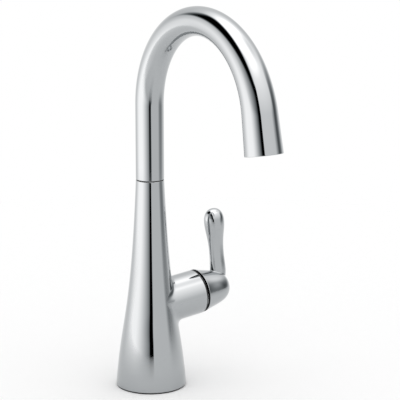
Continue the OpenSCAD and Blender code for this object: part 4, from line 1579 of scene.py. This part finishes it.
# Chromium plate over cast zinc and brass, buffed: a mid-grey mirror, hardly blue
POLISHED_CHROME = Finish("polished_chrome", "#AEB1B3", "#ACAFB1", 0.03, Grain.POLISHED,
                         14.0, 0.0006, metal=True, gloss_spread=0.01)
# Free-cutting brass, turned and left bare: warm, with fine rings that streak its gloss
MACHINED_BRASS = Finish("machined_brass", "#D9B368", "#C79C4E", 0.26, Grain.TURNED,
                        0.35, 0.004, metal=True, gloss_spread=0.06)
# Stainless steel, turned or stamped: grey, softly brushed
TURNED_STEEL = Finish("turned_stainless_steel", "#C3C4C4", "#B2B4B5", 0.28, Grain.TURNED,
                      0.3, 0.004, metal=True, gloss_spread=0.05)
# Drawn stainless wire: bright and smooth
WIRE = Finish("drawn_stainless_wire", "#BFC1C2", "#A9ACAE", 0.22, Grain.POLISHED,
              0.5, 0.002, metal=True, gloss_spread=0.05)
# Moulded EPDM rubber: dull black, with a faint bloom
MOULDED_RUBBER = Finish("moulded_epdm_rubber", "#161617", "#232426", 0.72, Grain.MOULDED,
                        0.25, 0.02, gloss_spread=0.08)
# Turned acetal: satin black, slightly waxy. On the bonnet trim this black is also painted shade,
# the shade of the gap round it.
BLACK_ACETAL = Finish("black_acetal", "#0D0D0E", "#161719", 0.38, Grain.MOULDED,
                      0.3, 0.0015, ior=1.48)
# Moulded acetal of the outlet's insert: satin grey
GREY_ACETAL = Finish("grey_acetal", "#7C7F81", "#6D7072", 0.42, Grain.MOULDED,
                     0.3, 0.008, ior=1.48)
# Moulded white acetal of the cartridge: satin, slightly warm
WHITE_ACETAL = Finish("white_acetal", "#E9E7E0", "#DDDBD3", 0.4, Grain.MOULDED,
                      0.4, 0.008, ior=1.48)
# Moulded red nylon of the limit ring
RED_NYLON = Finish("red_nylon", "#B0201C", "#98201C", 0.42, Grain.MOULDED,
                   0.4, 0.008, ior=1.53)
# Lapped alumina of the discs: pale and dense, with a ground gloss
LAPPED_ALUMINA = Finish("lapped_alumina", "#EFEAE0", "#E4DFD4", 0.24, Grain.LAPPED,
                        0.1, 0.001, ior=1.76)

SLOT_FINISHES = {"chrome": POLISHED_CHROME, "brass": MACHINED_BRASS, "steel": TURNED_STEEL,
                 "black_rubber": MOULDED_RUBBER, "black_plastic": BLACK_ACETAL,
                 "grey_plastic": GREY_ACETAL, "white_plastic": WHITE_ACETAL,
                 "red_plastic": RED_NYLON, "ceramic": LAPPED_ALUMINA}


def dress_solids() -> None:
    """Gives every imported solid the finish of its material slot."""
    slots = {part["node"]: part["material_slot"] for part in frame["record"]["subparts"]}
    for name, solid in frame["nodes"].items():
        finish = SLOT_FINISHES[slots[name]]
        for place in solid.material_slots:
            place.material = finish.material()
        log.info("%s dressed as %s", name, finish.name)


# ---------------------------------------------------------------- studio

class Tone:
    """A value in a node tree that sums can be written with."""

    def __init__(self, tree: bpy.types.NodeTree, socket: bpy.types.NodeSocket) -> None:
        """Keeps the tree and the socket that holds the value."""
        self.tree, self.socket = tree, socket

    def sum(self, operation: str, other: "Tone | float" = 0.0) -> "Tone":
        """The result of one sum with another value.

        Args:
            operation: The sum's name in the Math node.
            other: The second value.

        Returns:
            The new value.
        """
        second = other.socket if isinstance(other, Tone) else other
        node = add(self.tree, "ShaderNodeMath", {0: self.socket, 1: second},
                   operation=operation)
        return Tone(self.tree, node.outputs[0])

    def __add__(self, other: "Tone | float") -> "Tone":
        """Adds."""
        return self.sum("ADD", other)

    def __sub__(self, other: "Tone | float") -> "Tone":
        """Subtracts."""
        return self.sum("SUBTRACT", other)

    def __mul__(self, other: "Tone | float") -> "Tone":
        """Multiplies."""
        return self.sum("MULTIPLY", other)

    def move(self, start: float, stop: "Tone | float", low: float = 0.0, high: float = 1.0,
             smooth: bool = True) -> "Tone":
        """Moves from one level to another while this value runs between two others.

        Args:
            start: Value at which the move begins.
            stop: Value at which it ends.
            low: Level before.
            high: Level after.
            smooth: Whether it starts and stops softly.

        Returns:
            The level.
        """
        end = stop.socket if isinstance(stop, Tone) else stop
        node = add(self.tree, "ShaderNodeMapRange",
                   {"Value": self.socket, "From Min": start, "From Max": end,
                    "To Min": low, "To Max": high},
                   interpolation_type="SMOOTHSTEP" if smooth else "LINEAR")
        return Tone(self.tree, node.outputs[0])

    def towards(self, other: "Tone", share: "Tone") -> "Tone":
        """This value, replaced by another where the share is 1."""
        return self + (other - self) * share


@dataclass(frozen=True)
class Levels:
    """A value at heights above level, in degrees, with straight lines between."""

    steps: tuple[tuple[float, float], ...]

    def at(self, height: Tone) -> Tone:
        """The value at a height.

        Args:
            height: Elevation in degrees.

        Returns:
            The value.
        """
        level = height * 0.0 + self.steps[0][1]
        for (low, before), (high, after) in zip(self.steps, self.steps[1:]):
            level = level + height.move(low, high, 0.0, after - before, smooth=False)
        return level


@dataclass(frozen=True)
class Patch:
    """A soft dark patch on a wall, with its place and its reach in degrees."""

    turn: float
    height: float
    left: float
    right: float
    tall: float
    depth: float

    def shade(self, turn: Tone, height: Tone) -> Tone:
        """Share of the light that the patch leaves.

        Args:
            turn: Angle round from the camera's side.
            height: Elevation.

        Returns:
            1 outside the patch, and less towards its middle.
        """
        aside = turn - self.turn
        across = (aside * (1 / self.right)).sum("MAXIMUM", aside * (-1 / self.left))
        upright = (height - self.height) * (1 / self.tall)
        reach = (across * across + upright * upright).sum("SQRT")
        return reach.move(0.1, 1.0, 1.0, 0.0) * -self.depth + 1.0


# Brightness on the screen of the pale wall to the camera's right, lit from the ceiling
RIGHT_WALL = Levels(((-90, 0.72), (-40, 0.68), (-14, 0.68), (0, 0.69), (12, 0.76), (26, 0.83),
                     (44, 0.91), (54, 1.02)))
# Wall behind the object, a little darker
BACK_WALL = Levels(((-90, 0.74), (-30, 0.67), (0, 0.73), (14, 0.66), (30, 0.69), (42, 0.75),
                    (54, 0.89), (62, 1.02)))
# Large soft box to the left, standing on the table
SOFT_BOX = Levels(((-90, 0.64), (-50, 0.72), (-36, 0.80), (-26, 0.84), (-21, 0.98),
                   (-8, 0.95), (4, 0.93), (16, 0.83), (28, 0.70), (57, 0.72), (64, 1.02)))
# How far its right edge fades out, in degrees past its middle: less far down on the table
SOFT_BOX_REACH = Levels(((-26, 40.0), (-14, 94.0)))
# Dark things on the walls to the right and behind
DARK_PATCHES = (Patch(104, 12, 17, 48, 27, 0.5), Patch(93, -3.5, 25, 41, 25, 0.37),
                Patch(108, 58, 38, 36, 17, 0.15))
# Dark gap on the camera's side: its edges in degrees round from the camera's side
GAP_RIGHT = Levels(((0, 8.4), (12, 0.1), (38, -7.9)))
GAP_LEFT = Levels(((0, -4.6), (10, -13.0), (30, -19.0)))
# How it brightens to the left as a power, how wide its right edge is, and how dark it is
GAP_FALLOFF = Levels(((0, 0.17), (10, 0.4)))
GAP_SOFTNESS = Levels(((-16, 14.0), (-8, 2.0)))
GAP_DEPTH = Levels(((-60, 0.0), (-33, 0.2), (-18, 0.47), (-8, 1.0)))


@dataclass
class Room:
    """What polished metal sees round the object, by the direction in which it looks."""

    tree: bpy.types.NodeTree
    camera_side_deg: float
    pitch_deg: float
    backdrop: float = 0.69
    backdrop_edge: tuple[float, float] = (0.90, 0.985)
    warmth: tuple[float, float, float] = (2.31, 2.23, 2.19)
    wall_corner: tuple[float, float] = (0.9, -0.5)
    box_middle: float = -84.0
    box_left: tuple[float, float] = (-58.0, -5.0)
    box_right: float = 19.0
    gap_fade: float = 60.0
    gap_top: tuple[float, float] = (30.0, 36.0)
    flag_low: tuple[float, float] = (-69.0, 36.0)
    flag_high: tuple[float, float] = (-80.0, 62.5)
    flag_left: tuple[float, float] = (-140.0, -116.0)

    def above(self, turn_deg: float, height_deg: float) -> Tone:
        """How far metal looks above a sloping edge.

        Args:
            turn_deg: Side on which the edge stands highest, from the camera's side.
            height_deg: Its height there.

        Returns:
            Sine of the angle above the edge.
        """
        turn, height = math.radians(turn_deg + self.camera_side_deg), math.radians(height_deg)
        place = add(self.tree, "ShaderNodeTexCoord").outputs["Generated"]
        up = (-math.sin(height) * math.cos(turn), -math.sin(height) * math.sin(turn),
              math.cos(height))
        node = add(self.tree, "ShaderNodeVectorMath", {0: place, 1: up},
                   operation="DOT_PRODUCT")
        return Tone(self.tree, node.outputs["Value"])

    def walls(self, turn: Tone, height: Tone, corner: Tone) -> Tone:
        """Walls and soft box, with the dark patches on them.

        Args:
            turn: Angle round from the camera's side.
            height: Elevation.
            corner: High on the right wall and low on the wall behind.

        Returns:
            Brightness on the screen, from 0 to 1.
        """
        tone = RIGHT_WALL.at(height).towards(BACK_WALL.at(height),
                                             corner.move(*self.wall_corner))
        past = turn - self.box_middle
        box = (past.move(self.box_right, SOFT_BOX_REACH.at(height), 1.0, 0.0)
               * past.move(*self.box_left))
        tone = tone.towards(SOFT_BOX.at(height), box)
        for patch in DARK_PATCHES:
            tone = tone * patch.shade(turn, height)
        return tone

    def gap(self, turn: Tone, height: Tone, beyond: Tone) -> Tone:
        """Dark gap on the camera's side.

        Args:
            turn: Angle round from the camera's side.
            height: Elevation.
            beyond: Degrees past the gap's right edge.

        Returns:
            Share of the light that it leaves.
        """
        light = (GAP_LEFT.at(height) - turn).move(0, self.gap_fade, smooth=False)
        light = light.sum("POWER", GAP_FALLOFF.at(height))
        light = light.sum("MAXIMUM", beyond.move(-1.0, GAP_SOFTNESS.at(height)))
        depth = GAP_DEPTH.at(height) * height.move(*self.gap_top, 1.0, 0.0)
        return depth * (light - 1.0) + 1.0

    def flag(self, turn: Tone, beyond: Tone) -> Tone:
        """Black flag between two sloping edges, left of the gap's right edge.

        Args:
            turn: Angle round from the camera's side.
            beyond: Degrees past the gap's right edge.

        Returns:
            Share of the light that it leaves.
        """
        black = (self.above(*self.flag_low).move(-0.1, 0.1)
                 * self.above(*self.flag_high).move(-0.09, 0.09, 1.0, 0.0)
                 * turn.move(*self.flag_left) * beyond.move(-1.0, 1.0, 1.0, 0.0))
        return black * -1.0 + 1.0

    def brightness(self) -> Tone:
        """The room as a whole: walls, soft box, flag, gap and the white backdrop.

        Returns:
            Brightness on the screen, where the backdrop's value stands for white.
        """
        front, side = self.above(180, 90), self.above(-90, 90)
        turn = side.sum("ARCTAN2", front) * (180 / math.pi)
        height = self.above(0, 0).sum("ARCSINE") * (180 / math.pi)
        beyond = turn - GAP_RIGHT.at(height)
        tone = (self.walls(turn, height, front + side) * self.gap(turn, height, beyond)
                * self.flag(turn, beyond))
        # The backdrop fills the picture's background, and metal sees it white there too
        behind = self.above(0, 90 + self.pitch_deg).move(*self.backdrop_edge)
        return tone.sum("MAXIMUM", behind * self.backdrop)

    def light(self) -> bpy.types.NodeSocket:
        """The room's light, where the white backdrop is 1 in all colours.

        Returns:
            A colour socket.
        """
        share = self.brightness() * (1 / self.backdrop)
        channels = [share.sum("POWER", power).socket for power in self.warmth]
        return add(self.tree, "ShaderNodeCombineColor", dict(enumerate(channels))).outputs[0]


@dataclass
class Studio:
    """White floor, soft surrounding light and the camera."""

    eye: tuple[float, float, float] = (-0.7997, -1.2186, 0.50025)
    heading_deg: float = 55.08
    pitch_deg: float = 13.086
    lens: float = 160.42
    sensor: float = 36.0
    clip: tuple[float, float] = (0.05, 50.0)
    floor_half: float = 6.0
    paper_edge: tuple[float, float] = (0.1, 0.9)

    def camera(self) -> None:
        """Sets the camera where the photograph was taken from."""
        data = bpy.data.cameras.new("camera")
        data.lens, data.sensor_width, data.sensor_fit = self.lens, self.sensor, "HORIZONTAL"
        data.clip_start, data.clip_end = self.clip
        camera = bpy.data.objects.new("camera", data)
        camera.location = self.eye
        camera.rotation_euler = (math.radians(90 - self.pitch_deg), 0,
                                 math.radians(self.heading_deg - 90))
        bpy.context.scene.collection.objects.link(camera)
        bpy.context.scene.camera = camera

    def floor(self) -> None:
        """Lays a white paper floor that keeps the object's shadow.

        Every ray sees it alike. It fades out into the white surroundings, from so close
        that a low camera sees the clamp parts under it faintly.
        """
        mesh = bpy.data.meshes.new("floor")
        mesh.from_pydata([(x * self.floor_half, y * self.floor_half, 0)
                          for x, y in ((-1, -1), (1, -1), (1, 1), (-1, 1))],
                         [], [(0, 1, 2, 3)])
        floor = bpy.data.objects.new("floor", mesh)
        bpy.context.scene.collection.objects.link(floor)
        material = bpy.data.materials.new("white_paper")
        material.use_nodes = True
        tree = material.node_tree
        tree.nodes.clear()
        place = add(tree, "ShaderNodeTexCoord").outputs["Object"]
        reach = Tone(tree, add(tree, "ShaderNodeVectorMath", {0: place},
                               operation="LENGTH").outputs["Value"])
        gone = reach.move(*self.paper_edge, smooth=False)
        paper = add(tree, "ShaderNodeBsdfDiffuse", {"Color": linear("#FFFFFF")})
        clear = add(tree, "ShaderNodeBsdfTransparent")
        both = add(tree, "ShaderNodeMixShader",
                   {0: gone.socket, 1: paper.outputs[0], 2: clear.outputs[0]})
        add(tree, "ShaderNodeOutputMaterial", {"Surface": both.outputs[0]})
        mesh.materials.append(material)

    def light(self) -> None:
        """Surrounds the object with white light, and shows its metal a room.

        The floor, and the backdrop behind the object, are white for metal as they are for
        the camera. The room adds a soft box, a flag and darker walls on its other sides.
        """
        world = bpy.data.worlds.new("studio")
        bpy.context.scene.world = world
        world.use_nodes = True
        world.cycles.sampling_method = "NONE"
        tree = world.node_tree
        tree.nodes.clear()
        side_deg = math.degrees(math.atan2(self.eye[1], self.eye[0]))
        room = add(tree, "ShaderNodeBackground",
                   {"Color": Room(tree, side_deg, self.pitch_deg).light(), "Strength": 1.0})
        tent = add(tree, "ShaderNodeBackground", {"Color": (1, 1, 1, 1), "Strength": 1.0})
        path = add(tree, "ShaderNodeLightPath")
        both = add(tree, "ShaderNodeMixShader",
                   {0: path.outputs["Is Glossy Ray"], 1: tent.outputs[0],
                    2: room.outputs[0]})
        add(tree, "ShaderNodeOutputWorld", {"Surface": both.outputs[0]})

    def build(self) -> None:
        """Sets the stage."""
        self.camera()
        self.floor()
        self.light()
        bpy.context.scene.view_settings.view_transform = "Standard"


def main() -> None:
    """Builds the faucet's visible pieces and its stage, in order."""
    Studio().build()
    dress_solids()
    BodyCasting().build()
    spout = Spout()
    spout.build()
    handle = Handle()
    handle.build()
    handle.screw()
    Rings().build()
    Aerator(spout).build()
    Mounting().build()


if __name__ == "__main__":
    main()
